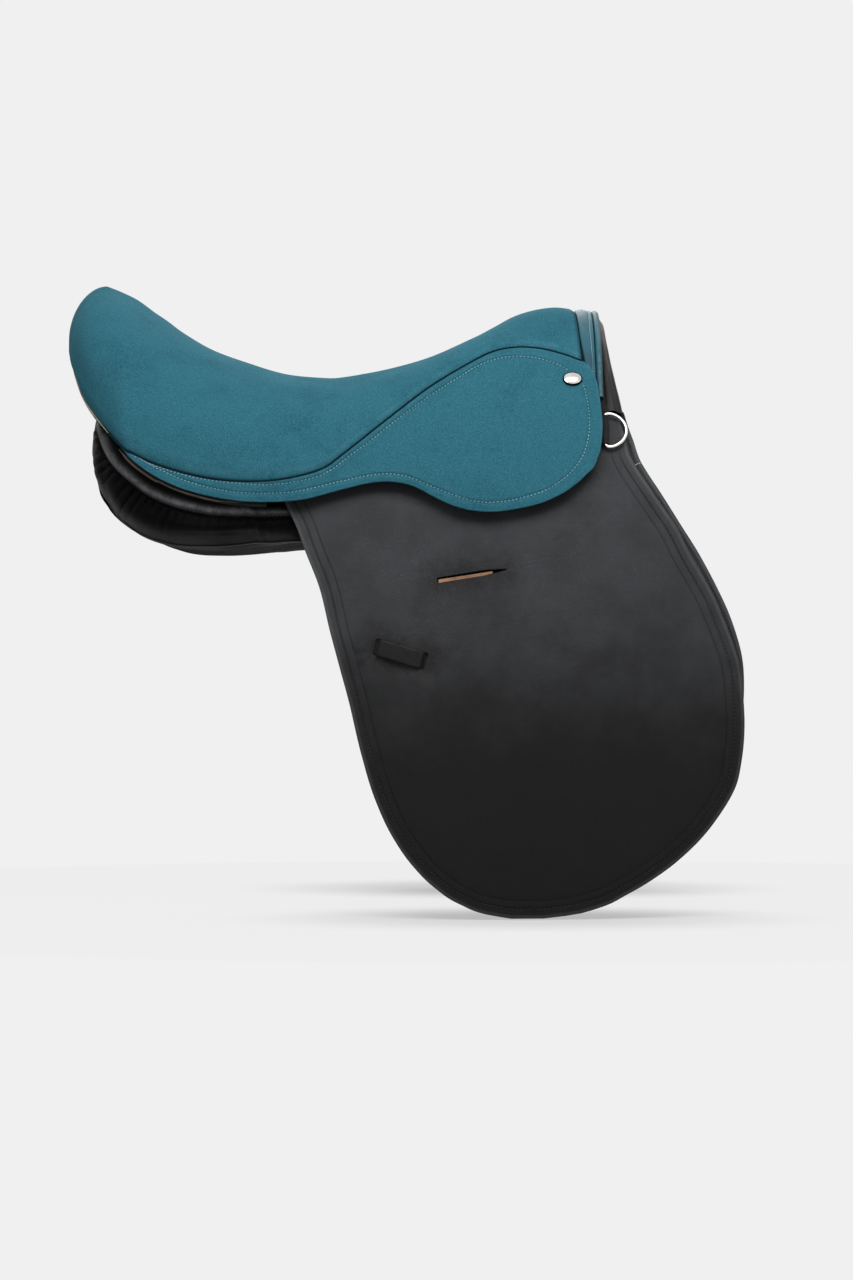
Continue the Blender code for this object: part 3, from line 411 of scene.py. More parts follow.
# The seat: ridge x and z, then x, y and z of the lower seam, then the lean of the leather there.
seatLine = [
    (0.2095, 0.1902, 0.2142, 0.0887, 0.1359, 40.6), (0.1935, 0.1920, 0.1952, 0.0840, 0.1430, 40),
    (0.1766, 0.1893, 0.1766, 0.0809, 0.1475, 40), (0.1576, 0.1828, 0.1576, 0.0805, 0.1485, 40),
    (0.1383, 0.1726, 0.1383, 0.0840, 0.1449, 38), (0.1193, 0.1622, 0.1193, 0.0916, 0.1356, 36),
    (0.0813, 0.1452, 0.0813, 0.1084, 0.1114, 30), (0.0443, 0.1343, 0.0443, 0.1248, 0.0820, 24),
    (0.0068, 0.1282, 0.0068, 0.1392, 0.0511, 20), (-0.0127, 0.1272, -0.0127, 0.1450, 0.0375, 18),
    (-0.0467, 0.1304, -0.0467, 0.1495, 0.0287, 14), (-0.0807, 0.1407, -0.0807, 0.1515, 0.0273, 10),
    (-0.1130, 0.1530, -0.1147, 0.1517, 0.0312, 6), (-0.1400, 0.1690, -0.1490, 0.1498, 0.0407, 2),
    (-0.1550, 0.1797, -0.1706, 0.1470, 0.0502, 0), (-0.1680, 0.1880, -0.1855, 0.1437, 0.0600, -4),
    (-0.1830, 0.1985, -0.2160, 0.1120, 0.0960, -12), (-0.1980, 0.2060, -0.2310, 0.0740, 0.1240, -20),
    (-0.2080, 0.2102, -0.2370, 0.0360, 0.1370, -28), (-0.2110, 0.2113, -0.2385, 0.0000, 0.1400, -30),
]
seatCurves = [smoothLine([(k, row[c]) for k, row in enumerate(seatLine)]) for c in range(6)]
seatLast = len(seatLine) - 1


def seatSkin(k, v):
    # points of the seat's outer face: k counts the stations above, v runs from rim to rim
    k, v = np.broadcast_arrays(np.asarray(k, float), np.asarray(v, float))
    cx, cz, bx, by, bz, lean = [c(k) for c in seatCurves]
    side = np.where(v > 0, 1.0, -1.0)
    zero = np.zeros_like(cx)
    top = np.stack([cx, zero, cz], -1)
    rim = np.stack([bx, side * by, bz], -1)
    out = rim - top
    out[..., 2] = 0
    far = np.linalg.norm(out, axis=-1)
    out = out / far[..., None]
    chord = np.linalg.norm(rim - top, axis=-1)
    lean = np.radians(lean)
    reach = np.minimum(0.43 * chord, 0.9 * (cz - bz) / np.cos(lean))
    one = top + out * np.maximum(0.45 * far, 0.024)[..., None]
    two = rim + np.stack([zero, zero, np.cos(lean) * reach], -1) - out * (np.sin(lean) * reach)[..., None]
    f = np.abs(v)[..., None]
    return (top * (1 - f) ** 3 + one * 3 * f * (1 - f) ** 2
            + two * 3 * f * f * (1 - f) + rim * f ** 3)


# Outlines of the hanging leather: (height, x) down each edge, or (x, height) along it.
flapBack = smoothLine([
    (0.0862, -0.0560), (0.0300, -0.0490), (0.0068, -0.0421), (-0.0086, -0.0344), (-0.0349, -0.0243),
    (-0.0617, -0.0136), (-0.1018, -0.0035), (-0.1306, 0.0043), (-0.1602, 0.0124), (-0.2032, 0.0226),
    (-0.2445, 0.0352), (-0.2769, 0.0505), (-0.2996, 0.0663), (-0.3180, 0.0845), (-0.3330, 0.1071),
    (-0.3421, 0.1321), (-0.3452, 0.1500)])
flapFront = smoothLine([
    (0.0896, 0.2448), (0.0779, 0.2479), (0.0654, 0.2510), (0.0495, 0.2549), (0.0415, 0.2591),
    (0.0289, 0.2671), (0.0172, 0.2745), (0.0057, 0.2821), (-0.0115, 0.2932), (-0.0349, 0.3045),
    (-0.0587, 0.3180), (-0.0732, 0.3254), (-0.0915, 0.3327), (-0.1052, 0.3380), (-0.1256, 0.3446),
    (-0.1597, 0.3485), (-0.1826, 0.3492), (-0.2115, 0.3465), (-0.2324, 0.3418), (-0.2573, 0.3277),
    (-0.2825, 0.3072), (-0.3073, 0.2779), (-0.3243, 0.2502), (-0.3369, 0.2230), (-0.3425, 0.2004),
    (-0.3452, 0.1776)])
sweatBack = smoothLine([
    (0.0862, -0.0200), (0.0000, -0.0180), (-0.1000, 0.0080), (-0.2000, 0.0340), (-0.2500, 0.0560),
    (-0.2850, 0.0860), (-0.3050, 0.1200), (-0.3120, 0.1500)])
sweatFront = smoothLine([
    (0.0862, 0.2525), (0.0802, 0.2536), (0.0650, 0.2584), (0.0472, 0.2640), (0.0340, 0.2715),
    (0.0208, 0.2798), (0.0036, 0.2902), (-0.0088, 0.2976), (-0.0339, 0.3128), (-0.0509, 0.3218),
    (-0.0670, 0.3297), (-0.0838, 0.3372), (-0.1030, 0.3438), (-0.1206, 0.3483), (-0.1513, 0.3501),
    (-0.1826, 0.3470), (-0.2115, 0.3410), (-0.2450, 0.3210), (-0.2750, 0.2870), (-0.2980, 0.2420),
    (-0.3090, 0.2000), (-0.3120, 0.1800)])
skirtTop = smoothLine([(seatCurves[2](k), seatCurves[4](k) - 0.0006) for k in np.arange(0, 15.01, 0.5)])
skirtFront = smoothLine([
    (0.2100, 0.1375), (0.2142, 0.1353), (0.2180, 0.1330), (0.2216, 0.1290), (0.2250, 0.1210),
    (0.2266, 0.1158), (0.2280, 0.1075), (0.2288, 0.1042)])
skirtBottom = smoothLine([
    (-0.1855, 0.0588), (-0.1765, 0.0484), (-0.1616, 0.0363), (-0.1400, 0.0242), (-0.1143, 0.0156),
    (-0.0845, 0.0100), (-0.0548, 0.0088), (-0.0294, 0.0106), (0.0071, 0.0199), (0.0309, 0.0256),
    (0.0480, 0.0266), (0.0666, 0.0229), (0.0851, 0.0134), (0.1034, 0.0051), (0.1273, 0.0008),
    (0.1555, 0.0033), (0.1834, 0.0111), (0.2020, 0.0215), (0.2150, 0.0329), (0.2248, 0.0460),
    (0.2290, 0.0613), (0.2300, 0.0700), (0.2304, 0.0760)])
lobeEdge = [(0.2304, 0.0806), (0.2298, 0.0890), (0.2290, 0.0981), (0.2280, 0.1050)]

sheetsTop = 0.0862  # where the hanging sheets are nailed to the tree, under the seat
edgeGap = 0.0016  # between the points of a cut edge

# Where the leather bends when it is lifted: along x = the points, at their heights.
bends = {"flap": ((-0.0338, -0.0102), (0.2930, -0.0102)),
         "skirt": ((0.0540, 0.0280), (0.2288, 0.1040)), "skirtRise": 0.0030}


def even(points, gap, closed=False):
    # the same line with its points a set distance apart
    points = np.asarray(points, float)
    if closed:
        points = np.vstack([points, points[:1]])
    run = np.concatenate([[0], np.cumsum(np.linalg.norm(np.diff(points, axis=0), axis=1))])
    count = max(int(round(run[-1] / gap)), 2)
    where = np.linspace(0, run[-1], count + 1)
    line = np.stack([np.interp(where, run, points[:, c]) for c in range(points.shape[1])], -1)
    return line[:-1] if closed else line


def rounded(points, times=2):
    # cuts the corners of a line, ends kept
    points = np.asarray(points, float)
    for _ in range(times):
        a, b = points[:-1], points[1:]
        middle = np.stack([a * 0.75 + b * 0.25, a * 0.25 + b * 0.75], 1).reshape(-1, points.shape[1])
        points = np.vstack([points[:1], middle, points[-1:]])
    return points


def sheetTop(left, right, bottom, margin, frontFrom, frontTop):
    # the top edge of a sheet stays under the seat's seam, and lower again at the front
    line = []
    for u in np.linspace(0, 1, 60):
        high = bottom
        for _ in range(4):
            x = left(high) + (right(high) - left(high)) * u
            high = min(sheetsTop, skirtTop(x) - margin) if x < frontFrom else frontTop
        line.append((left(high) + (right(high) - left(high)) * u, high))
    return line


def hangingOutline(left, right, top, bottom):
    heights = np.linspace(top[-1][1], bottom, 200)
    down = [(float(right(z)), z) for z in heights]
    heights = np.linspace(bottom, top[0][1], 200)
    up = [(float(left(z)), z) for z in heights]
    return [tuple(map(float, p)) for p in top] + down[1:] + up[:-1]


flapOutline = hangingOutline(flapBack, flapFront,
                             sheetTop(flapBack, flapFront, -0.0099, 0.0020, 0.2200, sheetsTop), -0.3452)
sweatOutline = hangingOutline(sweatBack, sweatFront,
                              sheetTop(sweatBack, sweatFront, -0.022, 0.0050, 0.2000, 0.0800), -0.3120)
skirtXs = np.linspace(-0.1855, 0.2100, 160)
skirtOutline = ([(x, float(skirtTop(x))) for x in skirtXs]
                + [(x, float(skirtFront(x))) for x in np.linspace(0.2104, 0.2280, 30)]
                + lobeEdge[::-1]
                + [(x, float(skirtBottom(x))) for x in
                   np.concatenate([0.2304 - np.linspace(0, 1, 40)[1:] ** 2 * 0.03,
                                   np.linspace(0.2000, -0.1845, 150)])])


def treeOf(points):
    # for finding the nearest of many points
    tree = KDTree(len(points))
    for k, point in enumerate(points):
        tree.insert(point, k)
    tree.balance()
    return tree


class Nearness:
    # distance in the flat from any point to a set of lines
    def __init__(self, lines):
        self.tree = treeOf([(dot[0], dot[1], 0.0) for line in lines for dot in even(line, 0.0003)])

    def __call__(self, points):
        return np.array([self.tree.find((p[0], p[1], 0.0))[2] for p in points])


def insideOf(points, outline):
    points, outline = np.asarray(points, float), np.asarray(outline, float)
    x, z = points[:, 0], points[:, 1]
    inside = np.zeros(len(points), bool)
    last = np.roll(outline, 1, axis=0)
    for (ax, az), (bx, bz) in zip(outline, last):
        crosses = (az > z) != (bz > z)
        if not crosses.any():
            continue
        inside ^= crosses & (x < (bx - ax) * (z - az) / (bz - az + 1e-15) + ax)
    return inside


def newObject(name, points, faces, kinds, bodyName=None, slots=None):
    mesh = bpy.data.meshes.new(name)
    mesh.from_pydata([tuple(p) for p in points], [], [tuple(map(int, f)) for f in faces])
    mesh.update()
    for kind in ([kinds] if isinstance(kinds, str) else kinds):
        mesh.materials.append(finish[kind])
    if slots is not None:
        mesh.polygons.foreach_set("material_index", np.asarray(slots, np.int32))
    mesh.shade_smooth()
    made = bpy.data.objects.new(name, mesh)
    bpy.context.scene.collection.objects.link(made)
    if bodyName:
        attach(made, bodyName)
    return made


def outwards(obj, sharp=50, merge=0.000004):
    # turns every face outwards, and leaves only the edges above this angle sharp
    work = bmesh.new()
    work.from_mesh(obj.data)
    if merge:
        bmesh.ops.remove_doubles(work, verts=work.verts[:], dist=merge)
    bmesh.ops.recalc_face_normals(work, faces=work.faces[:])
    if work.calc_volume(signed=True) < 0:
        bmesh.ops.reverse_faces(work, faces=work.faces[:])
    work.to_mesh(obj.data)
    work.free()
    obj.data.shade_smooth()
    obj.data.set_sharp_from_angle(angle=math.radians(sharp))
    return obj


def paint(obj, values, name="edge"):
    layer = obj.data.attributes.new(name, "FLOAT", "POINT")
    layer.data.foreach_set("value", np.asarray(values, np.float32))


def cutEdge(outline):
    # the evenly spaced points of an outline, and the way inwards at each
    edge = even(outline, edgeGap, closed=True)
    around = np.roll(edge, -1, axis=0) - np.roll(edge, 1, axis=0)
    around /= np.linalg.norm(around, axis=1)[:, None]
    area = np.sum(edge[:, 0] * np.roll(edge[:, 1], -1) - np.roll(edge[:, 0], -1) * edge[:, 1])
    return edge, np.stack([-around[:, 1], around[:, 0]], -1) * np.sign(area)


def triangles(outline, holes, rings, spacing, lines=()):
    # A fine mesh of a flat outline: rows of points that follow its edge and the given lines, and a
    # coarser field between them.
    lineGap, lineWide = 0.0012, 0.003
    edge, inward = cutEdge(outline)
    edgeNear = Nearness([np.vstack([line, line[:1]]) for line in (edge, *holes)])
    sets = []
    for far in rings:
        ring = edge + inward * far
        sets.append(ring[edgeNear(ring) > far * 0.93])
    reach = max(rings) if rings else 0.0
    lineNear = Nearness(lines) if lines else None
    for line in lines:
        path = even(line, lineGap)
        along = np.gradient(path, axis=0)
        along /= np.linalg.norm(along, axis=1)[:, None]
        sideways = np.stack([-along[:, 1], along[:, 0]], -1)
        for far in np.linspace(-lineWide, lineWide, 9):
            dots = path + sideways * far
            sets.append(dots[edgeNear(dots) > reach + 0.0006] if reach else dots)
    low, high = edge.min(axis=0), edge.max(axis=0)
    columns = int((high[0] - low[0]) / spacing) + 1
    rows = int((high[1] - low[1]) / (spacing * 0.866)) + 1
    field = np.array([(low[0] + (i + 0.5 * (j % 2)) * spacing, low[1] + j * spacing * 0.866)
                      for j in range(rows) for i in range(columns)])
    field = field[insideOf(field, edge)]
    field = field[edgeNear(field) > reach + spacing * 0.6]
    if lineNear is not None:
        field = field[lineNear(field) > lineWide + spacing * 0.4]
    sets.append(field)
    free = np.vstack(sets)
    free = free[insideOf(free, edge)]
    borders = [edge]
    for hole in holes:
        free = free[~insideOf(free, hole)]
        borders.append(np.asarray(hole, float))
    free = free[edgeNear(free) > 0.00012]
    points = np.vstack(borders + [free])
    constraints, start = [], 0
    for border in borders:
        count = len(border)
        constraints += [(start + k, start + (k + 1) % count) for k in range(count)]
        start += count
    result = delaunay_2d_cdt([Vector(p) for p in points], constraints, [], 0, 1e-7, True)
    spots = np.array([tuple(p) for p in result[0]])
    faces = np.array([f for f in result[2] if len(f) == 3])
    middle = spots[faces].mean(axis=1)
    keep = insideOf(middle, edge)
    for hole in holes:
        keep &= ~insideOf(middle, hole)
    return spots, faces[keep], [len(b) for b in borders]


def sheetObject(name, outline, side, outLevel, inLevel, kinds, relief=None, holes=(), rings=(),
                spacing=0.004, lines=(), edgeRound=0.0009, back=0.010, paintedShade=None):
    # A leather sheet over the flank: a finely modelled face, a plain back and a rounded cut edge.
    spots, faces, counts = triangles(outline, holes, rings, spacing, lines)
    edge, _ = cutEdge(outline)
    far = Nearness([np.vstack([line, line[:1]]) for line in (edge, *holes)])(spots)
    drop = np.where(far < edgeRound, edgeRound - np.sqrt(np.clip(
        edgeRound ** 2 - (edgeRound - np.minimum(far, edgeRound)) ** 2, 0, None)), 0)
    rise = outLevel - drop + (relief(spots, far) if relief else 0)
    outer = flankPoints(spots, rise, side)
    backSpots, backFaces, _ = triangles(outline, holes, (), back)
    inner = flankPoints(backSpots, inLevel, side)
    count = len(outer)
    # the two faces share their border points in order, so a strip closes the edge
    strip, start = [], 0
    for number in counts:
        for k in range(number):
            a, b = start + k, start + (k + 1) % number
            strip.append((a, b, count + b, count + a))
        start += number
    flip = backFaces[:, ::-1] + count
    turn = faces if side > 0 else faces[:, ::-1]
    turnBack = flip if side > 0 else flip[:, ::-1]
    made = newObject(name, np.vstack([outer, inner]), list(turn) + list(turnBack) + strip, kinds)
    outwards(made, merge=0)
    near = np.clip(1 - far / edgeGap, 0, 1)
    paint(made, np.concatenate([near, np.ones(len(inner)) * 0.2]))
    # a cut edge is burnished, so it shines a little more than the face
    paint(made, np.concatenate([0.55 * bell(far, 0.0018, 0.0011), np.zeros(len(inner))]), "polish")
    # painted shade from the caller, darkening grooves and seams of the face
    if paintedShade is not None:
        paint(made, np.concatenate([paintedShade(spots, far), np.zeros(len(inner))]), "paintedShade")
    return made


def bell(far, at, wide):
    return np.exp(-((far - at) / wide) ** 2)


def groove(far, at, wide, deep):
    return -deep * bell(far, at, wide)


def ripple(spots, size, height, seed=0):
    # gentle unevenness of a big piece of leather
    x, z = spots[:, 0] / size, spots[:, 1] / size
    return height * (np.sin(2.1 * x + 1.3 * z + seed) * 0.5 + np.sin(1.1 * z - 2.7 * x + 2.4 * seed) * 0.3
                     + np.sin(4.3 * x + 3.7 * z + 1.7 * seed) * 0.2)


# Stitching: one Geometry Nodes tree sets thread after thread along a path
def stitchTree():
    tree = bpy.data.node_groups.new("stitchRow", "GeometryNodeTree")
    face = tree.interface
    face.new_socket("Geometry", in_out="INPUT", socket_type="NodeSocketGeometry")
    for label, value in (("Pitch", 0.0034), ("Length", 0.0026), ("Thickness", 0.0004), ("Slant", 0.12),
                         ("Unevenness", 0.12)):
        face.new_socket(label, in_out="INPUT", socket_type="NodeSocketFloat").default_value = value
    face.new_socket("Thread", in_out="INPUT", socket_type="NodeSocketMaterial")
    face.new_socket("Geometry", in_out="OUTPUT", socket_type="NodeSocketGeometry")
    start, end = tree.nodes.new("NodeGroupInput").outputs, tree.nodes.new("NodeGroupOutput")
    line = node(tree, "GeometryNodeMeshToCurve", {"Mesh": start["Geometry"]})
    spaced = node(tree, "GeometryNodeResampleCurve", {"Curve": line.outputs[0], "Length": start["Pitch"]},
                  mode="LENGTH")
    bead = node(tree, "GeometryNodeMeshUVSphere", {"Segments": 8, "Rings": 6, "Radius": 1.0})
    half = maths(tree, "MULTIPLY", start["Length"], 0.5)
    size = node(tree, "ShaderNodeCombineXYZ", {"X": half, "Y": start["Thickness"], "Z": start["Thickness"]})
    shape = node(tree, "GeometryNodeTransform", {"Geometry": bead.outputs["Mesh"], "Scale": size.outputs[0]})
    smooth = node(tree, "GeometryNodeSetShadeSmooth", {"Geometry": shape.outputs[0]})
    tangent = node(tree, "GeometryNodeInputTangent")
    up = node(tree, "GeometryNodeInputNamedAttribute", {"Name": "up"}, data_type="FLOAT_VECTOR")
    axes = node(tree, "FunctionNodeAxesToRotation", {"Primary Axis": up.outputs["Attribute"],
                "Secondary Axis": tangent.outputs[0]}, primary_axis="Z", secondary_axis="X")
    chance = node(tree, "FunctionNodeRandomValue", {2: -1.0, 3: 1.0, "Seed": 7}, data_type="FLOAT")
    wobble = maths(tree, "MULTIPLY_ADD", chance.outputs[1], start["Unevenness"], start["Slant"])
    twist = node(tree, "FunctionNodeAxisAngleToRotation", {"Angle": wobble})
    turn = node(tree, "FunctionNodeRotateRotation", {"Rotation": axes.outputs[0],
                "Rotate By": twist.outputs[0]}, rotation_space="LOCAL")
    place = node(tree, "GeometryNodeInstanceOnPoints", {"Points": spaced.outputs[0],
                 "Instance": smooth.outputs[0], "Rotation": turn.outputs[0]})
    real = node(tree, "GeometryNodeRealizeInstances", {0: place.outputs[0]})
    coat = node(tree, "GeometryNodeSetMaterial", {"Geometry": real.outputs[0], "Material": start["Thread"]})
    tree.links.new(coat.outputs[0], end.inputs[0])
    return tree


stitchRow = stitchTree()


def throughNodes(obj, tree, values):
    # runs a Geometry Nodes tree on an object and keeps the result as its plain mesh
    step = obj.modifiers.new("shape", "NODES")
    step.node_group = tree
    for item in tree.interface.items_tree:
        if item.in_out == "INPUT" and item.name in values:
            step[item.identifier] = values[item.name]
    graph = bpy.context.evaluated_depsgraph_get()
    graph.update()
    done = bpy.data.meshes.new_from_object(obj.evaluated_get(graph))
    obj.modifiers.clear()
    old = obj.data
    obj.data = done
    done.name = obj.name
    bpy.data.meshes.remove(old)
    return obj


def stitches(name, rows, thread, pitch=0.0034, length=0.0027, thickness=0.00042):
    # rows: lists of (point, outward normal) pairs
    points, ups, edges = [], [], []
    for row in rows:
        first = len(points)
        for point, up in row:
            points.append(tuple(point))
            ups.append(tuple(up))
        edges += [(k, k + 1) for k in range(first, len(points) - 1)]
    mesh = bpy.data.meshes.new(name)
    mesh.from_pydata(points, edges, [])
    layer = mesh.attributes.new("up", "FLOAT_VECTOR", "POINT")
    layer.data.foreach_set("vector", np.asarray(ups, np.float32).ravel())
    made = bpy.data.objects.new(name, mesh)
    bpy.context.scene.collection.objects.link(made)
    throughNodes(made, stitchRow, {"Pitch": pitch, "Length": length, "Thickness": thickness,
                                   "Thread": finish[thread]})
    return made


def flankRow(line, t, side):
    # points and outward normals for a row of stitches on the flank
    spots = even(line, 0.0012)
    points = flankPoints(spots, t, side)
    outward = flankPoints(spots, t + 0.004, side) - points
    outward /= np.linalg.norm(outward, axis=1)[:, None]
    return list(zip(points, outward))


def insetLine(outline, far, keep):
    # the part of an outline, moved inwards, for which keep(x, z) is true
    edge, inward = cutEdge(outline)
    ring = edge + inward * far
    fine = Nearness([np.vstack([edge, edge[:1]])])(ring) > far * 0.97
    good = np.array([keep(p[0], p[1]) for p in edge]) & fine
    if good.all():
        return [ring]
    start = int(np.argmin(good))
    order = np.roll(np.arange(len(ring)), -start)
    runs, run = [], []
    for k in order:
        if good[k]:
            run.append(ring[k])
        elif run:
            runs.append(np.array(run))
            run = []
    if run:
        runs.append(np.array(run))
    return [r for r in runs if len(r) > 4]


def bendEnds(name, side):
    # the middle of the line where a sheet bends when it is lifted, and the way down the sheet there
    (rearX, rearZ), (frontX, frontZ) = bends[name]
    t = level["flap"] if name == "flap" else level["skirt"] + bends["skirtRise"]
    first = Vector(flankPoints((rearX, rearZ), t, side))
    second = Vector(flankPoints((frontX, frontZ), t, side))
    axis = (second - first).normalized()
    middle = flankFrame((rearX + frontX) / 2, (rearZ + frontZ) / 2, t, side)
    out = Vector(middle.col[2][:3])
    down = axis.cross(out).normalized()
    if down.z > 0:
        down = -down
    return (first + second) / 2, down


def bendPiece(obj, name, side):
    centre, down = bendEnds(name, side)
    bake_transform(obj)


# Flaps
flap = {"rings": [0.0002, 0.0005, 0.0009, 0.0015, 0.0022, 0.0031, 0.0040, 0.0050, 0.0060, 0.0068,
                  0.0075, 0.0082, 0.0089, 0.0096, 0.0104, 0.0114, 0.0126, 0.0138, 0.0146, 0.0153,
                  0.0160, 0.0170, 0.0184],
        "spacing": 0.0046, "stitchIn": 0.0082, "creaseIn": 0.0153, "beadIn": 0.0040,
        "betweenIn": 0.0118, "bend": 0.010}
slit = {"x": 0.117, "z": -0.053, "slope": 0.163,
        "shape": [(-0.0300, -0.0026), (0.0120, -0.0026), (0.0300, -0.0006), (0.0300, 0.0006),
                  (0.0120, 0.0024), (-0.0300, 0.0024)],
        "lip": [(-0.0290, -0.0023), (0.0110, -0.0023), (0.0180, -0.0016), (0.0180, 0.0002),
                (-0.0290, 0.0006)]}
keeper = {"x": 0.0351, "z": -0.1141, "runX": 0.0419, "runZ": -0.0123, "half": 0.0068,
          "slots": (0.0375, 0.9625), "slotHalf": (0.0027, 0.0072), "slotTurn": -0.285, "thick": 0.0022,
          "proud": 0.0016, "sink": 0.0050, "columns": 70, "rows": 22}


def turnedShape(x, z, angle, shape):
    cos, sin = math.cos(angle), math.sin(angle)
    return [(x + a * cos - b * sin, z + a * sin + b * cos) for a, b in shape]


slitHole = turnedShape(slit["x"], slit["z"], slit["slope"], even(slit["shape"], 0.0014, closed=True))
slotShape = [(-1, -0.8), (-0.7, -1), (0.7, -1), (1, -0.8), (1, 0.8), (0.7, 1), (-0.7, 1), (-1, 0.8)]
slotHoles = []
for share in keeper["slots"]:
    x = keeper["x"] + keeper["runX"] * share
    z = keeper["z"] + keeper["runZ"] * share
    half = keeper["slotHalf"]
    slotHoles.append(turnedShape(x, z, keeper["slotTurn"], even(
        [(a * half[0], b * half[1]) for a, b in slotShape], 0.0012, closed=True)))


def flapRelief(spots, far):
    below = np.clip((0.060 - spots[:, 1]) / 0.02, 0, 1)
    rise = groove(far, flap["stitchIn"], 0.0007, 0.00055) + groove(far, flap["creaseIn"], 0.0006, 0.00045)
    # the leather swells between the rows and rolls over at its edge
    rise += 0.00035 * bell(far, flap["beadIn"], 0.0022)
    rise += 0.00025 * bell(far, flap["betweenIn"], 0.0022)
    rise += 0.0005 * bell(Nearness([slitHole])(spots), 0.0, 0.004)
    return rise * below + ripple(spots, 0.055, 0.00055, 0.6) + slitLift(spots)


def flapShade(spots, far):
    # painted shade in the stitch groove, along the crease line and round the slit and slots
    below = np.clip((0.060 - spots[:, 1]) / 0.02, 0, 1)
    holes = Nearness([slitHole] + slotHoles)(spots)
    return below * (0.75 * bell(far, flap["stitchIn"], 0.0006) + 0.55 * bell(far, flap["creaseIn"], 0.0005)
                    + 0.7 * bell(holes, 0.0, 0.0011))


def slitLift(spots):
    # the leather stands a little proud where the slit's tongue begins
    x = spots[:, 0] - (slit["x"] + 0.018)
    z = spots[:, 1] - (slit["z"] + 0.003)
    return 0.0006 * np.exp(-(x / 0.022) ** 2 - (z / 0.010) ** 2)


def flapRowShows(x, z):
    # the stitches end where the skirt and the seat cover the flap
    return z < 0.078 and (x > 0.1 or z < 0.0)


for word, side in sides.items():
    made = sheetObject("flap-" + word, flapOutline, side, level["flap"], level["flapIn"], "flap",
                       flapRelief, [slitHole] + slotHoles, flap["rings"], flap["spacing"],
                       paintedShade=flapShade)
    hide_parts("flap_top_" + word, "flap_" + word)
    bendPiece(made, "flap", side)
    row = [flankRow(line, level["flap"] - 0.00035, side)
           for line in insetLine(flapOutline, flap["stitchIn"], flapRowShows)]
    thread = stitches("flap-stitching-" + word, row, "blackThread", thickness=0.00032)
    bendPiece(thread, "flap", side)

    # the keeper strap lies on the flap and goes down through both slots
    run = Vector((keeper["runX"], keeper["runZ"]))
    cross = Vector((0.28, 0.96)) * keeper["half"]
    top, low = [], []
    us = np.linspace(-0.02, 1.02, keeper["columns"])
    for v in np.linspace(-1, 1, keeper["rows"]):
        spots = [(keeper["x"] + run.x * u + cross.x * v, keeper["z"] + run.y * u + cross.y * v)
                 for u in us]
        edge = np.minimum(us, 1 - us)
        sink = np.clip((0.085 - edge) / 0.075, 0, 1)
        sink = sink * sink * (3 - 2 * sink)
        arch = keeper["proud"] * np.sin(np.pi * np.clip(us, 0, 1))
        lift = (level["flap"] + 0.0003 + keeper["thick"] + arch - sink * keeper["sink"]
                - 0.0006 * max(0.0, abs(v) - 0.86) / 0.14)
        top.append(flankPoints(spots, lift, side))
        low.append(flankPoints(spots, lift - keeper["thick"], side))
    gridPoints = np.vstack([np.vstack(top), np.vstack(low)])
    wide, rows, count = len(us), keeper["rows"], len(us) * keeper["rows"]
    faces = []
    for j in range(rows - 1):
        for k in range(wide - 1):
            a = j * wide + k
            faces.append((a, a + 1, a + 1 + wide, a + wide))
            faces.append((count + a + wide, count + a + wide + 1, count + a + 1, count + a))
    border = (list(range(wide)) + [j * wide + wide - 1 for j in range(1, rows)]
              + [(rows - 1) * wide + k for k in range(wide - 2, -1, -1)]
              + [j * wide for j in range(rows - 2, 0, -1)])
    for a, b in zip(border, border[1:] + border[:1]):
        faces.append((b, a, a + count, b + count))
    strap = newObject("keeper-strap-" + word, gridPoints, faces, "black", "flap_" + word)
    outwards(strap, 55, 0)
    rim = np.abs(np.repeat(np.linspace(-1, 1, rows), wide))
    paint(strap, np.tile(np.clip((rim - 0.8) / 0.2, 0, 1), 2))
    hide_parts("keeper_" + word)

    # the raw edge of the slit's tongue, worn to a copper colour
    spots, faces, counts = triangles(turnedShape(slit["x"], slit["z"], slit["slope"], slit["lip"]),
                                     (), (0.0004, 0.0009), 0.0014)
    rise = level["flap"] - 0.0002 - 0.0012 * np.abs(np.sin((spots[:, 0] - slit["x"]) * 220)) * 0.4
    outer = flankPoints(spots, rise, side)
    inner = flankPoints(spots, level["flap"] - 0.0030, side)
    n, m = len(outer), counts[0]
    faces = [tuple(f) for f in faces] + [tuple(f[::-1] + n) for f in faces]
    faces += [(k, (k + 1) % m, n + (k + 1) % m, n + k) for k in range(m)]
    lip = newObject("slit-lip-edge-" + word, np.vstack([outer, inner]), faces, "raw", "flap_" + word)
    outwards(lip, 45, 0)
    paint(lip, np.concatenate([np.full(n, 0.6), np.zeros(n)]))
    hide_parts("slit_lip_" + word)
print("flaps made")


# Sweat flaps, which lie against the horse behind the flap and show ahead of it
sweat = {"rings": [0.0002, 0.0005, 0.0009, 0.0014, 0.0020, 0.0028, 0.0036, 0.0043, 0.0049, 0.0055,
                   0.0062, 0.0072, 0.0090, 0.0115], "spacing": 0.007, "stitchIn": 0.0049,
         "mark": [(0.2578, 0.0408), (0.2592, 0.0434), (0.2614, 0.0447), (0.2640, 0.0450)]}
marks = []


def sweatRelief(spots, far):
    return groove(far, sweat["stitchIn"], 0.0006, 0.00045) + 0.0003 * bell(far, 0.0024, 0.0014) - 0.0002


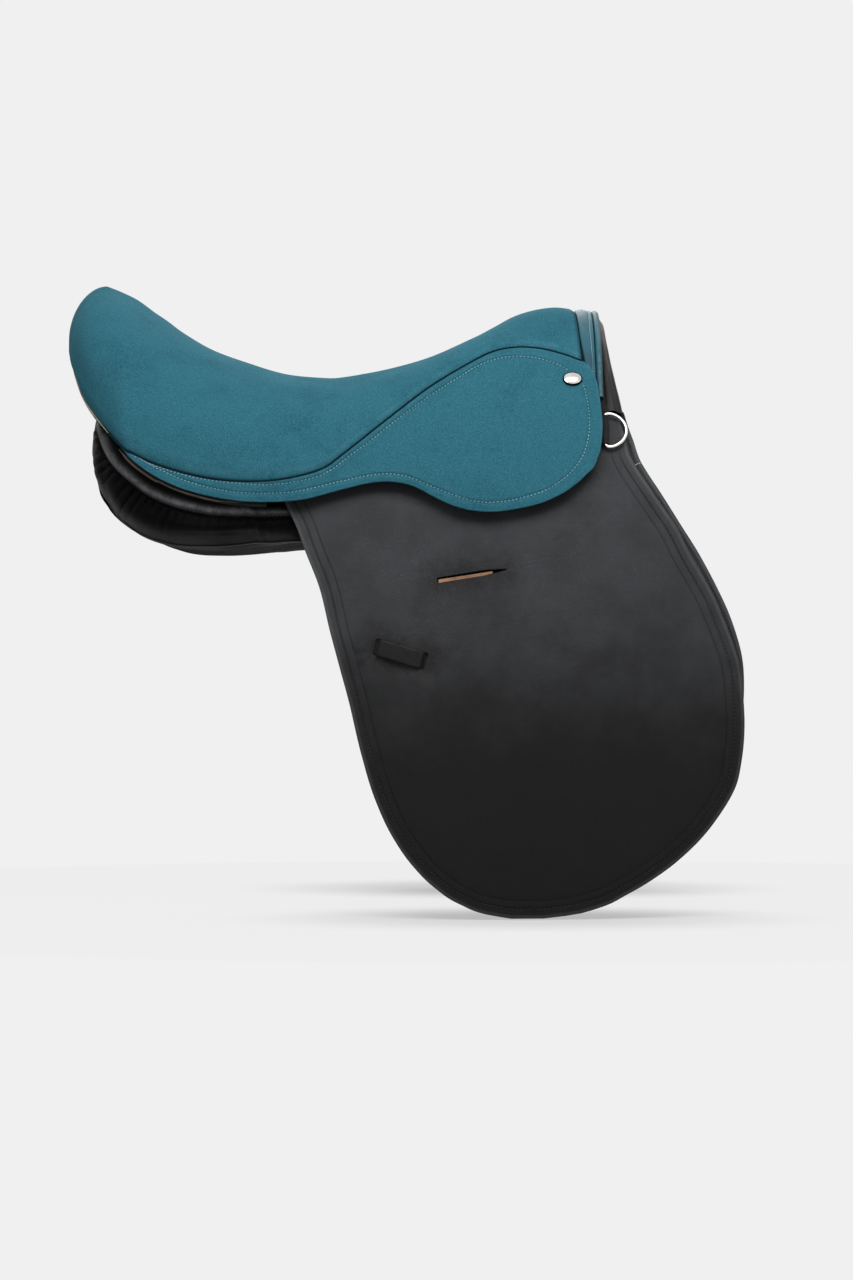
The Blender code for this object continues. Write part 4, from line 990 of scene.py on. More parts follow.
for word, side in sides.items():
    # painted shade along the sweat flap's stitch groove
    made = sheetObject("sweat-flap-" + word, sweatOutline, side, level["sweat"], 0.0, "flap", sweatRelief,
                       (), sweat["rings"], sweat["spacing"],
                       paintedShade=lambda spots, far: 0.7 * bell(far, sweat["stitchIn"], 0.0005))
    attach(made, "saddle")
    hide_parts("sweat_flap_" + word)
    lines = insetLine(sweatOutline, sweat["stitchIn"], lambda x, z: z < 0.075 and x > 0.0)
    thread = stitches("sweat-flap-stitching-" + word,
                      [flankRow(line, level["sweat"] - 0.00045, side) for line in lines],
                      "blackThread", thickness=0.00030)
    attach(thread, "saddle")
    # a pale mark across the band where two lengths of its binding meet
    mark = flankPoints(sweat["mark"], level["sweat"] + 0.0001, side)
    smoothMark = [mark[0] * (1 - f) ** 3 + mark[1] * 3 * f * (1 - f) ** 2 + mark[2] * 3 * f * f * (1 - f)
                  + mark[3] * f ** 3 for f in np.linspace(0, 1, 14)]
    marks.append((smoothMark, word))
print("sweat flaps made")


# Skirts: one suede sheet a side, its front lobe lifting over the stirrup bar
skirt = {"rings": [0.0002, 0.0005, 0.0009, 0.0014, 0.0020, 0.0028, 0.0037, 0.0046, 0.0054, 0.0061,
                   0.0067, 0.0073, 0.0079, 0.0086, 0.0095, 0.0106, 0.0120], "spacing": 0.0042,
         "bend": 0.009}
# Rows of stitches measured from the photograph, as x and height.
topRow = [(-0.1700, 0.0480), (-0.1500, 0.0350), (-0.1200, 0.0260), (-0.0800, 0.0215), (-0.0450, 0.0245),
          (-0.0296, 0.0280), (0.0162, 0.0505), (0.0623, 0.0895), (0.1004, 0.1160), (0.1285, 0.1345),
          (0.1574, 0.1408), (0.1853, 0.1360), (0.2007, 0.1275)]
lobeRow = [(0.2151, 0.1120), (0.2193, 0.0903), (0.2187, 0.0654), (0.2100, 0.0424), (0.1891, 0.0232),
           (0.1650, 0.0136), (0.1368, 0.0083), (0.1146, 0.0100), (0.0813, 0.0229), (0.0625, 0.0318),
           (0.0445, 0.0333), (0.0070, 0.0278), (-0.0294, 0.0179), (-0.0600, 0.0155), (-0.0950, 0.0180),
           (-0.1250, 0.0258), (-0.1500, 0.0368), (-0.1680, 0.0470)]
nail = {"x": 0.2053, "z": 0.1184, "wide": 0.0086, "high": 0.0070, "around": 72, "chromeTo": 0.87,
        "profile": [(0.90, 0.0000), (1.00, 0.0004), (1.00, 0.0011), (0.955, 0.0016), (0.90, 0.0017),
                    (0.86, 0.0016), (0.80, 0.0020), (0.68, 0.0025), (0.50, 0.0029), (0.28, 0.0031),
                    (0.10, 0.0032)]}


def safeRow(points, above):
    # keeps a stitch row inside the skirt: away from its seam and from its lower edge
    line = rounded(points)
    for p in line:
        if p[0] < 0.2090:
            if above:
                gap = 0.0017 + 0.0043 * min(1.0, max(0.0, (p[0] + 0.085) / 0.085))
                p[1] = min(p[1], float(skirtTop(p[0])) - gap)
                if p[0] < -0.060:
                    p[1] = float(skirtTop(p[0])) - gap
            else:
                p[1] = max(p[1], float(skirtBottom(p[0])) + 0.0068)
    return line


skirtRows = [safeRow(topRow, True), safeRow(lobeRow, False)]


def skirtRelief(spots, far):
    rows = Nearness(skirtRows)(spots)
    rise = groove(rows, 0.0, 0.0009, 0.0007) + 0.00035 * bell(rows, 0.0026, 0.0014)
    rise += 0.00035 * bell(far, 0.0036, 0.0020)
    # pulled down round the nail
    nailFar = np.hypot(spots[:, 0] - nail["x"], spots[:, 1] - nail["z"])
    rise -= 0.0009 * bell(nailFar, 0.0, 0.0100)
    # the stirrup bar pushes the lobe out a little
    bar = np.hypot((spots[:, 0] - 0.145) / 0.055, (spots[:, 1] - 0.100) / 0.018)
    rise += 0.0007 * np.exp(-bar ** 2)
    soft = np.clip(far / 0.012, 0, 1)
    return rise + (ripple(spots, 0.030, 0.00045, 2.1) + ripple(spots, 0.011, 0.00012, 4.0)) * soft


def skirtShade(spots, far):
    # painted shade in the stitch rows and along the top, under the seat's seam
    rows = Nearness(skirtRows)(spots)
    top = np.clip((spots[:, 1] - np.array([float(skirtTop(min(p, 0.19))) for p in spots[:, 0]]) + 0.0012)
                  / 0.0010, 0, 1) * (spots[:, 0] < 0.13)
    return 0.5 * bell(rows, 0.0, 0.0006) + 0.8 * top


for word, side in sides.items():
    made = sheetObject("skirt-" + word, skirtOutline, side, level["skirt"], level["skirtIn"], "suede",
                       skirtRelief, (), skirt["rings"], skirt["spacing"], skirtRows, 0.0011,
                       paintedShade=skirtShade)
    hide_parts("skirt_" + word, "skirt_lobe_" + word)
    bendPiece(made, "skirt", side)
    rowPoints = [flankRow(line, level["skirt"] - 0.00030, side) for line in skirtRows]
    thread = stitches("skirt-stitching-" + word, rowPoints, "thread", pitch=0.0033, length=0.0024,
                      thickness=0.00044)
    bendPiece(thread, "skirt", side)
print("skirts made")


# Closed pieces made from grids, rings and paths
def gridObject(name, outer, inner, kind, bodyName, edge=None, sharp=50, paintedShade=None, topKinds=None):
    rows, columns = outer.shape[:2]
    count = rows * columns
    points = np.vstack([outer.reshape(-1, 3), inner.reshape(-1, 3)])
    index = np.arange(count).reshape(rows, columns)
    a, b, c, d = index[:-1, :-1], index[:-1, 1:], index[1:, 1:], index[1:, :-1]
    top = np.stack([a, b, c, d], -1).reshape(-1, 4)
    border = (list(index[0]) + list(index[1:, -1]) + list(index[-1, -2::-1]) + list(index[-2:0:-1, 0]))
    ring = [(q, p, p + count, q + count) for p, q in zip(border, border[1:] + border[:1])]
    slots = None
    if topKinds is not None:
        slots = list(topKinds) + [0] * (len(top) + len(ring))
    made = newObject(name, points, list(top) + list(top[:, ::-1] + count) + ring, kind, slots=slots)
    for label, values in (("edge", edge), ("paintedShade", paintedShade)):
        if values is not None:
            paint(made, np.concatenate([values.ravel(), np.zeros(count)]), label)
    outwards(made, sharp)
    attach(made, bodyName)
    return made


def tubeObject(name, path, radius, kind, bodyName, closed=False, around=14):
    path = [Vector(p) for p in path]
    n, rings, normal = len(path), [], None
    for i, p in enumerate(path):
        before = path[(i - 1) % n] if closed else path[max(i - 1, 0)]
        after = path[(i + 1) % n] if closed else path[min(i + 1, n - 1)]
        run = (after - before).normalized()
        if normal is None:
            normal = run.orthogonal().normalized()
        normal = (normal - run * normal.dot(run)).normalized()
        other = run.cross(normal)
        size = radius(i / (n - 1)) if callable(radius) else radius
        rings.append([p + (normal * math.cos(a) + other * math.sin(a)) * size
                      for a in np.linspace(0, 2 * math.pi, around, endpoint=False)])
    points = [p for ring in rings for p in ring]
    faces = []
    for i in range(n if closed else n - 1):
        nxt, shift = (i + 1) % n, 0
        if closed and nxt == 0:
            gaps = [(rings[-1][0] - q).length for q in rings[0]]
            shift = gaps.index(min(gaps))
        for j in range(around):
            k = (j + 1) % around
            faces.append((i * around + j, i * around + k, nxt * around + (k + shift) % around,
                          nxt * around + (j + shift) % around))
    if not closed:
        faces.append(tuple(range(around)))
        faces.append(tuple(len(points) - around + k for k in range(around)))
    made = newObject(name, points, faces, kind)
    outwards(made, 60)
    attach(made, bodyName)
    return made


def surfaceNormals(grid):
    along = np.gradient(grid, axis=0)
    across = np.gradient(grid, axis=1)
    normal = np.cross(along, across)
    size = np.linalg.norm(normal, axis=-1, keepdims=True)
    return normal / np.maximum(size, 1e-12)


# Seat: suede over foam, crowned and pulled down to its seam
seat = {"stations": 230, "across": 171, "spread": 0.92, "roll": 0.0010, "pucker": 0.00032,
        "puckerWide": 0.0135, "uneven": 0.0007, "thick": 0.0022, "fill": 0.85}

ks = np.linspace(0, seatLast, seat["stations"])
vs = (np.sin(np.linspace(-1, 1, seat["across"]) * math.pi / 2 * seat["spread"])
      / math.sin(math.pi / 2 * seat["spread"]))  # closer together towards the seams
skin = seatSkin(ks[:, None], vs[None, :])
normal = surfaceNormals(skin)
centre = np.array([0.0, 0.0, 0.02])
normal *= np.sign(np.sum(normal * (skin - centre), axis=-1, keepdims=True) + 1e-12)
normal[-1, :, 1] = 0
normal[-1] /= np.maximum(np.linalg.norm(normal[-1], axis=-1, keepdims=True), 0.000001)
rimFar = np.linalg.norm(skin - seatSkin(ks[:, None], np.sign(vs[None, :] + 1e-9)), axis=-1)
runs = np.concatenate([[0], np.cumsum(np.linalg.norm(np.diff(seatSkin(ks, 1.0), axis=0), axis=1))])
puckers = (np.sin(runs * 2 * math.pi / seat["puckerWide"] + 1.8 * np.sin(runs * 31))
           * (0.6 + 0.4 * np.sin(runs * 47)))
rise = seat["roll"] * (bell(rimFar, 0.010, 0.007) - 0.55 * bell(rimFar, 0.0, 0.0035))
rise += seat["pucker"] * puckers[:, None] * bell(rimFar, 0.0, 0.011) * np.clip(rimFar / 0.003, 0, 1)
soft = np.clip(rimFar / 0.02, 0, 1)
rise += seat["uneven"] * soft * (
    0.5 * np.sin(skin[..., 0] * 58 + 2.0 * np.sin(skin[..., 1] * 41)) * np.cos(skin[..., 1] * 36)
    + 0.3 * np.sin(skin[..., 0] * 23 - skin[..., 1] * 31 + 1.0)
    + 0.2 * np.sin(skin[..., 0] * 97 + skin[..., 1] * 83))
under = skin - normal * seat["thick"]
frontFar = np.linalg.norm(skin - skin[:1], axis=-1)
# painted shade along the seam at the rim and along the front edge
rimShade = np.maximum(0.98 * bell(rimFar, 0.0, 0.0012) * (ks[:, None] < 15.5),
                  0.9 * bell(frontFar, 0.0, 0.0016))
rise = rise - 0.0016 * bell(frontFar, 0.0, 0.0022)
rolled = np.clip(1 - np.minimum(abs(rimFar - 0.006), abs(frontFar - 0.006)) / 0.004, 0, 1) * 0.6
seatPiece = gridObject("seat-cover", skin + normal * rise[..., None], under, "suede", "saddle", rolled, 60,
                       rimShade)
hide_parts("seat_cover")

# a welt is sewn into the seam below the seat; its near-black teal is painted shade for the seam's dark gap
welt = {"radius": 0.0009, "out": 0.0005, "down": 0.0004, "last": 15.3}
for word, side in sides.items():
    path = seatSkin(np.linspace(0.0, welt["last"], 240), float(side))
    path[:, 1] += side * welt["out"]
    path[:, 2] -= welt["down"]
    tubeObject("seat-welt-" + word, path, welt["radius"], "seam", "saddle", around=10)
print("seat made")


# Cantle: cream piping under the seat's rim, and the leather that closes the back
cantle = {"first": 0.80, "piping": 0.0010, "pipingDown": 0.0014, "pipingIn": 0.0019, "facingDown": 0.0040,
          "facingIn": 0.0020, "facingThick": 0.0022, "hollow": 0.004}


def rimLine(first, last, down, inward, count):
    # a line along the seat's rim, moved down the leather and in under it
    k = np.linspace(first, last, count) * seatLast
    line = []
    for s in (-1.0, 1.0):
        rim, above = seatSkin(k, s), seatSkin(k, s * 0.97)
        fall = rim - above
        fall /= np.linalg.norm(fall, axis=-1, keepdims=True)
        top = seatSkin(k, s * 0.001)
        out = rim - top
        out[:, 2] = 0
        out /= np.linalg.norm(out, axis=-1, keepdims=True)
        line.append(rim + fall * down - out * inward)
    return np.vstack([line[0], line[1][-2::-1]])


rim = rimLine(cantle["first"], 1.0, cantle["pipingDown"], cantle["pipingIn"], 70)
piping = tubeObject("cantle-piping", rim, lambda f: cantle["piping"] * min(1.0, 0.25 + 9 * min(f, 1 - f)),
                    "cream", "saddle", around=12)
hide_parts("cantle_piping")
# the facing hangs from the rim, and goes down behind the tops of the panels on either side of the gullet
top = rimLine(cantle["first"], 1.0, cantle["facingDown"], cantle["facingIn"], 90)
sunkBy = np.clip((np.abs(top[:, 1]) - 0.045) / 0.075, 0, 1)
low = np.stack([top[:, 0] + 0.0190 + 0.0100 * sunkBy, top[:, 1] * (0.80 + 0.06 * sunkBy),
                np.minimum(0.1000 - 0.0340 * sunkBy, top[:, 2] - 0.006)], -1)
share = np.linspace(0, 1, 26)[None, :, None]
face = top[:, None] * (1 - share) + low[:, None] * share
face[..., 0] -= cantle["hollow"] * np.sin(np.pi * share[..., 0]) * (1 - 0.9 * sunkBy[:, None])
face[..., 0] += 0.0005 * np.sin(face[..., 1] * 160) * np.sin(np.pi * share[..., 0])
closing = gridObject("cantle-facing", face, face + np.array([cantle["facingThick"], 0, 0]), "panel",
                     "saddle")
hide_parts("cantle_facing")
print("cantle made")


# Panels: black leather cushions stuffed with wool, gathered into a seam below a facing band
panelLine = [
    (-0.2165, 0.066, 0.078, 0.066, 0.044, 0.020, 0.046, 0.054),
    (-0.2120, 0.090, 0.096, 0.078, 0.028, 0.030, 0.030, 0.044),
    (-0.2000, 0.114, 0.098, 0.072, 0.006, 0.038, 0.010, 0.028),
    (-0.1800, 0.130, 0.090, 0.058, -0.013, 0.042, -0.009, 0.012),
    (-0.1500, 0.1415, 0.080, 0.041, -0.026, 0.045, -0.0235, -0.002),
    (-0.1100, 0.147, 0.072, 0.024, -0.0295, 0.046, -0.028, -0.008),
    (-0.0850, 0.1465, 0.066, 0.021, -0.0285, 0.045, -0.027, -0.008),
    (-0.0585, 0.150, 0.060, 0.024, -0.026, 0.040, -0.024, -0.006),
    (-0.0235, 0.150, 0.056, 0.030, -0.024, 0.030, -0.018, -0.002),
    (0.0300, 0.150, 0.060, 0.042, -0.035, 0.020, -0.004, 0.012),
    (0.0900, 0.150, 0.070, 0.054, -0.055, 0.016, 0.014, 0.032),
    (0.1500, 0.150, 0.078, 0.060, -0.065, 0.015, 0.028, 0.046),
    (0.1880, 0.150, 0.080, 0.062, -0.060, 0.015, 0.036, 0.052),
    (0.2400, 0.150, 0.074, 0.052, -0.036, 0.014, 0.040, 0.050),
]
panelCurves = [smoothLine([(row[0], row[c]) for row in panelLine]) for c in range(1, 8)]
panel = {"channel": 0.036, "parts": 28, "rear": 240, "front": 60, "pleatDeep": 0.0024,
         "pleatWide": 0.0074, "pleatLong": 0.017, "weltAt": 24, "fill": 0.7}
pleatSeam = [(-0.2110, 0.0760), (-0.2086, 0.0678), (-0.2038, 0.0532), (-0.1936, 0.0387),
             (-0.1790, 0.0258), (-0.1636, 0.0138), (-0.1448, 0.0053), (-0.1251, -0.0007),
             (-0.0985, -0.0050), (-0.0446, -0.0040), (-0.0200, -0.0030)]


def panelRoom(x, heights):
    # how wide the panel may be at these heights: inside the flap, but free to swell out behind it
    heights = np.atleast_1d(heights)
    free = np.clip((-0.0585 - x) / 0.0265, 0, 1)
    if free == 1:
        return np.full(len(heights), 1.0)
    behind = np.clip((-0.0240 - x) / 0.016, 0, 1)
    inside = -0.0008 + (level["flapIn"] - 0.0002) * behind * behind * (3 - 2 * behind)
    if 0.190 < x < 0.228:
        # room for the leather pocket of the tree's point
        inside = inside - 0.0134 * np.clip((heights + 0.030) / 0.018, 0, 1)
    elif x > 0.228:
        inside = -0.0050
    return flankPoints(np.stack([np.full(len(heights), x), heights], -1), inside, 1)[:, 1] + 0.05 * free ** 2


def panelRing(x):
    out, top, shoulder, end, wide, bear, channel = [float(c(x)) for c in panelCurves]
    middle = (shoulder + end) / 2

    def reach(z):
        return min(out, float(panelRoom(x, z)[0]))

    lower = end + 0.012
    corners = [(panel["channel"], top - 0.010), (min(0.070, 0.6 * reach(top)), top),
               (reach(shoulder) - 0.004, shoulder), (reach(middle), middle),
               (reach(lower) - 0.006, lower), (reach(end) - wide, end),
               (min(0.078, 0.6 * out), bear), (panel["channel"], channel)]
    ring, n = [], len(corners)
    for k in range(n):
        a, b, c, d = [np.array(corners[(k + j) % n]) for j in (-1, 0, 1, 2)]
        for f in np.arange(panel["parts"]) / panel["parts"]:
            ring.append(b + 0.5 * f * (c - a) + f * f * (a - 2.5 * b + 2 * c - 0.5 * d)
                        + f ** 3 * (-0.5 * a + 1.5 * b - 1.5 * c + 0.5 * d))
    ring = np.array(ring)
    heights = ring[:, 1]
    wide = np.minimum(np.maximum(ring[:, 0], panel["channel"] - 0.004), panelRoom(x, heights))
    return np.stack([np.full(len(ring), x), wide, heights], -1)


stuffing = {"voxel": 0.005, "pressure": 4.0, "frames": 20, "cap": 0.006, "share": 0.5, "smaller": 0.002}


def gridQuads(index):
    # the faces between the rows of a grid of point numbers whose columns close into a ring
    nxt = np.roll(index, -1, axis=1)
    return np.stack([index[:-1], nxt[:-1], nxt[1:], index[1:]], -1).reshape(-1, 4)


def stuffed(grid, out):
    # how far cloth over stuffing swells from the given closed shape, at each of its points
    start = (grid - out * stuffing["smaller"])[::3, ::3]
    rows, columns = start.shape[:2]
    index = np.arange(rows * columns).reshape(rows, columns)
    faces = [tuple(q) for q in gridQuads(index)] + [tuple(index[0]), tuple(index[-1])]
    coarse = outwards(newObject("stuffing", start.reshape(-1, 3), faces, "panel"))
    remesh = coarse.modifiers.new("even", "REMESH")
    remesh.mode = "VOXEL"
    remesh.voxel_size = stuffing["voxel"]
    graph = bpy.context.evaluated_depsgraph_get()
    coarse.data = bpy.data.meshes.new_from_object(coarse.evaluated_get(graph))
    coarse.modifiers.clear()
    rest = np.array([v.co[:] for v in coarse.data.vertices])
    facing = np.array([v.normal[:] for v in coarse.data.vertices])
    cloth = coarse.modifiers.new("cloth", "CLOTH")
    cloth.settings.use_pressure = True
    cloth.settings.uniform_pressure_force = stuffing["pressure"]
    cloth.settings.effector_weights.gravity = 0.0
    cloth.settings.quality = 5
    cloth.point_cache.frame_start, cloth.point_cache.frame_end = 1, stuffing["frames"]
    for step in range(1, stuffing["frames"] + 1):
        bpy.context.scene.frame_set(step)
    graph = bpy.context.evaluated_depsgraph_get()
    swollen = bpy.data.meshes.new_from_object(coarse.evaluated_get(graph))
    moved = np.array([v.co[:] for v in swollen.vertices]) - rest
    far = np.sum(moved * facing, axis=1)
    print("stuffing moved %.1f to %.1f mm" % (far.min() * 1000, far.max() * 1000))
    far = np.clip(far - np.median(far), -stuffing["cap"], stuffing["cap"]) * stuffing["share"]
    bpy.data.objects.remove(coarse)
    bpy.data.meshes.remove(swollen)
    bpy.context.scene.frame_set(1)
    tree = treeOf(rest)
    result = []
    for spot in grid.reshape(-1, 3):
        found = tree.find_n(spot, 5)
        weights = np.array([1 / (gap + 0.001) for _, _, gap in found])
        result.append(float(np.dot(far[[k for _, k, _ in found]], weights) / weights.sum()))
    return np.array(result).reshape(grid.shape[:2])


rearEnd = -0.2165 + 0.0065 * (1 - np.cos(np.linspace(0, math.pi / 2, 16)))
xs = np.concatenate([rearEnd, np.linspace(rearEnd[-1], -0.0300, panel["rear"])[1:],
                     np.linspace(-0.0300, 0.1880, panel["front"])[1:], [0.1912, 0.1945, 0.2080, 0.2260,
                                                                        0.2300, 0.2350, 0.2400]])
rings = np.array([panelRing(x) for x in xs])
seamGap = 0.0004
seamPath = even(rounded(pleatSeam, 3), seamGap)
seamRun = np.arange(len(seamPath)) * seamGap
seamAlong = np.gradient(seamPath, axis=0)
seamAlong /= np.linalg.norm(seamAlong, axis=1)[:, None]
seamDown = np.stack([seamAlong[:, 1], -seamAlong[:, 0]], -1)
seamTree = treeOf([(dot[0], dot[1], 0.0) for dot in seamPath])
flatRings = rings.reshape(-1, 3)
nearest = np.array([seamTree.find((p[0], p[2], 0.0))[1] for p in flatRings])
offset = flatRings[:, [0, 2]] - seamPath[nearest]
below = np.sum(offset * seamDown[nearest], axis=1)
aside = np.abs(np.sum(offset * seamAlong[nearest], axis=1))
normal = surfaceNormals(rings)
normal *= np.sign(np.sum(normal[:, :, 1:] * (rings[:, :, 1:] - rings[:, :, 1:].mean(axis=1, keepdims=True)),
                         axis=-1, keepdims=True).mean())
flatNormal = normal.reshape(-1, 3)
facingOut = np.maximum(np.clip((flatNormal[:, 1] - 0.15) / 0.35, 0, 1),
                       np.clip((-flatNormal[:, 0] - 0.3) / 0.4, 0, 1) * (flatRings[:, 1] > 0.055))
run = seamRun[nearest]
gather = (0.35 + 0.65 * bell(flatRings[:, 0], -0.172, 0.034)) * (flatRings[:, 0] < -0.03)
phase = run * 2 * math.pi / panel["pleatWide"] + 1.1 * np.sin(run * 61) + 0.6 * np.sin(run * 143 + 1)
wave = 2 * np.abs(np.sin(phase / 2)) ** 0.6 - 1.15
pleatReach = panel["pleatLong"] * (0.78 + 0.42 * np.sin(run * 173 + 2))
fall = np.exp(-(np.clip(below, 0, None) / pleatReach) ** 1.6) * (below > -0.0005)
rise = panel["pleatDeep"] * wave * gather * fall * np.clip((below + 0.0005) / 0.0018, 0, 1)
foldShade = 1.8 * gather * fall * bell(np.sin(phase / 2), 0.0, 0.34) * (below > 0.0004)
rise -= 0.0022 * bell(below, 0.0, 0.0013)  # pulled in at the seam
rise += 0.0026 * bell(below, -0.0055, 0.0036)  # the rolled band above it
rise += 0.0012 * bell(below, 0.012, 0.007)
behindFlap = np.clip((-0.025 - flatRings[:, 0]) / 0.02, 0, 1)
reached = facingOut * np.clip(1 - aside / 0.004, 0, 1) * behindFlap
reached *= np.clip((flatRings[:, 0] + 0.2158) / 0.004, 0, 1)
rise *= reached
# wool stuffing is never quite even: a cloth simulation on a coarse copy says how it swells
rise += stuffed(rings, normal).ravel() * np.clip((-0.050 - flatRings[:, 0]) / 0.02, 0.25, 1) * np.clip(
    (flatRings[:, 0] + 0.2150) / 0.012, 0, 1)
# painted shade in the pleat valleys, at the seam and in the gap above the rolled band
shadowed = 0.9 * np.clip((-below - 0.0100) / 0.0015, 0, 1)
panelShade = np.clip(0.95 * foldShade + 0.95 * bell(below, 0.0, 0.0011) + shadowed, 0, 1) * reached
# the rolled band above the gathers gets a painted highlight in a paler colour, and more shine
polish = bell(below, -0.0058, 0.0030) * facingOut * behindFlap
paintedHighlight = polish * (0.85 + 0.15 * np.sin(run * 420 + 2 * np.sin(run * 90)))
rise = rise.reshape(rings.shape[:2])


def panelObject(word, side):
    # the closed piece, and the grid of its points
    face = (rings + normal * rise[..., None]) * np.array([1, side, 1])
    rows, columns = face.shape[:2]
    index = np.arange(rows * columns).reshape(rows, columns)
    points = [tuple(p) for p in face.reshape(-1, 3)]
    faces = [tuple(q) for q in gridQuads(index)]
    for row, push in ((0, -0.0012), (rows - 1, 0.0012)):
        middle = face[row].mean(axis=0) + np.array([push, 0, 0])
        points.append(tuple(middle))
        faces += [(index[row][j], index[row][(j + 1) % columns], len(points) - 1)
                  for j in range(columns)]
    made = newObject("panel-" + word, points, faces, "panel")
    # the panel carries painted shade, shine and a painted highlight
    for label, values in (("paintedShade", panelShade), ("polish", polish), ("edge", paintedHighlight)):
        paint(made, np.concatenate([values, [0, 0]]), label)
    outwards(made, 70)
    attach(made, "saddle")
    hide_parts("panel_" + word)
    return face


onFace = np.flatnonzero((facingOut > 0.12) & (flatRings[:, 1] > 0.05))
faceTree = treeOf([(spot[0], spot[2], 0.0) for spot in flatRings[onFace]])


def onPanel(line, face, out):
    # the outer face of the panel and its normal under a line given in side view
    points, normals = [], []
    for x, z in line:
        found = faceTree.find_n((x, z, 0.0), 4)
        weights = np.array([1 / (gap + 0.0002) for _, _, gap in found])
        picks = onFace[[k for _, k, _ in found]]
        points.append((face.reshape(-1, 3)[picks] * weights[:, None]).sum(0) / weights.sum())
        normals.append(out.reshape(-1, 3)[picks].mean(0))
    points, normals = np.array(points), np.array(normals)
    for values in (points, normals):
        for c in range(3):
            values[3:-3, c] = np.convolve(values[:, c], np.ones(7) / 7, "valid")
    normals /= np.linalg.norm(normals, axis=1)[:, None]
    return points, normals


def weltPath(face, out):
    # along the turn of the panel's lower edge, just above its lowest point
    rows = np.flatnonzero((xs > -0.203) & (xs < -0.027))
    column = 4 * panel["parts"] + panel["weltAt"]
    path = face[rows, column] + out[rows, column] * 0.0002
    for c in range(3):
        path[6:-6, c] = np.convolve(path[:, c], np.ones(13) / 13, "valid")
    return path


for word, side in sides.items():
    face = panelObject(word, side)
    out = surfaceNormals(face)
    out *= np.sign((out[..., 1] * face[..., 1]).mean())
    # the welt that closes the panel along its lower edge
    tubeObject("panel-welt-" + word, weltPath(face, out), lambda f: 0.0010 * min(1.0, 14 * f + 0.2),
               "facing", "saddle", around=10)
    # stitches along the seam above the gathers
    sewn = seamPath[(seamPath[:, 0] > -0.200) & (seamPath[:, 0] < -0.036)]
    row = even(sewn + (0.0003, 0.0022), 0.0016)
    points, normals = onPanel(row, face, out)
    thread = stitches("panel-stitching-" + word, [list(zip(points, normals))], "blackThread",
                      thickness=0.00034)
    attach(thread, "saddle")
print("panels made")


# Pommel: a padded strip, its binding and the facing below it, arched over the withers
def archGrid(back, front, end, t, crown=0.0, count=150, along=26, extra=None):
    # a band arched over the withers from side to side, between two lines given by height
    top = float(archAngle(end, t))
    angles = np.linspace(-top, top, count)
    u = np.linspace(0, 1, along)
    grid = np.zeros((count, along, 3))
    for i, angle in enumerate(angles):
        z = float(archPoints(0.0, abs(angle), t)[2])
        x = back(z) + (front(z) - back(z)) * u
        rise = t - crown * (2 * u - 1) ** 2
        if extra is not None:
            rise = rise + extra(u, z)
        grid[i] = archPoints(x, np.full(along, abs(angle)), rise)
        grid[i, :, 1] *= 1 if angle > 0 else -1
    return grid


def constant(value):
    return lambda z: value


seatFront = smoothLine([(0.1359, 0.2142), (0.160, 0.2110), (0.190, 0.2095)])
facingFront = smoothLine([(0.0880, 0.2498), (0.107, 0.2463), (0.131, 0.2418), (0.163, 0.2378),
                          (0.182, 0.2368)])


def edgeRoll(u, size=0.14, deep=0.0009):
    near = np.minimum(u, 1 - u)
    return -deep * (1 - np.sqrt(np.clip(1 - (1 - np.minimum(near / size, 1)) ** 2, 0, 1)))


def stripShape(u, z):
    swell = 0.0012 * np.sin(np.pi * np.clip(u / 0.72, 0, 1))
    return edgeRoll(u) + swell - 0.0007 * bell(u, pommel["row"], 0.03)


def facingShape(u, z):
    return (edgeRoll(u, 0.2, 0.0010) + 0.0014 * bell(u, 0.66, 0.12) - 0.0012 * bell(u, 0.38, 0.07)
            - 0.0005 * bell(u, 0.86, 0.03) + 0.0003 * np.sin(z * 260))


def acrossShare(face):
    # how far across its band each point of a grid lies, from back to front
    return np.linspace(0, 1, face.shape[1])[None, :] + np.zeros(face.shape[:2])


pommel = {"strip": (lambda z: seatFront(z) + 0.0022, constant(0.2262), 0.1060),
          "binding": (constant(0.2266), constant(0.2325), 0.1030),
          "facing": (constant(0.2250), facingFront, 0.0905),
          "pad": (constant(0.1975), constant(0.2244), 0.1190), "row": 0.76, "russetFrom": 0.1660}
face = archGrid(*pommel["strip"], level["strip"], extra=stripShape)
inner = archGrid(*pommel["strip"], level["stripIn"])
u = acrossShare(face)
# painted shade in the groove at its back edge, along the stitch row and at its front edge
strip = gridObject("pommel-strip", face, inner, "teal", "saddle", sharp=60,
                   paintedShade=0.8 * bell(u, 0.0, 0.06) + 0.35 * bell(u, pommel["row"], 0.03)
                   + 0.5 * bell(u, 1.0, 0.03))
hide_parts("pommel_strip")
out = surfaceNormals(face)
out *= np.sign((out * (face - np.array([0.22, 0, -0.1]))).sum(-1).mean())
column = int(pommel["row"] * 25)
row = list(zip(face[4:-4, column] + out[4:-4, column] * 0.0001, out[4:-4, column]))
thread = stitches("pommel-stitching", [row], "thread", pitch=0.0030, length=0.0024, thickness=0.00042)
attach(thread, "saddle")
face = archGrid(*pommel["binding"], level["strip"], 0.0016, extra=lambda u, z: edgeRoll(u, 0.3, 0.0008))
inner = archGrid(*pommel["binding"], level["stripIn"] - 0.0020, -0.0008)
u = acrossShare(face)
# painted shade darkens its front and back edges
binding = gridObject("pommel-binding", face, inner, "teal", "saddle", sharp=60, edge=bell(u, 0.6, 0.2),
                     paintedShade=0.95 * np.clip((u - 0.80) / 0.10, 0, 1) + 0.7 * bell(u, 0.0, 0.10))
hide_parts("pommel_binding")
face = archGrid(*pommel["facing"], 0.0165, 0.0040, extra=facingShape)
inner = archGrid(*pommel["facing"], -0.0040, -0.0020)
u, heights = acrossShare(face), face[..., 2]
high = (heights[:-1, :-1] > pommel["russetFrom"]).ravel().astype(int)
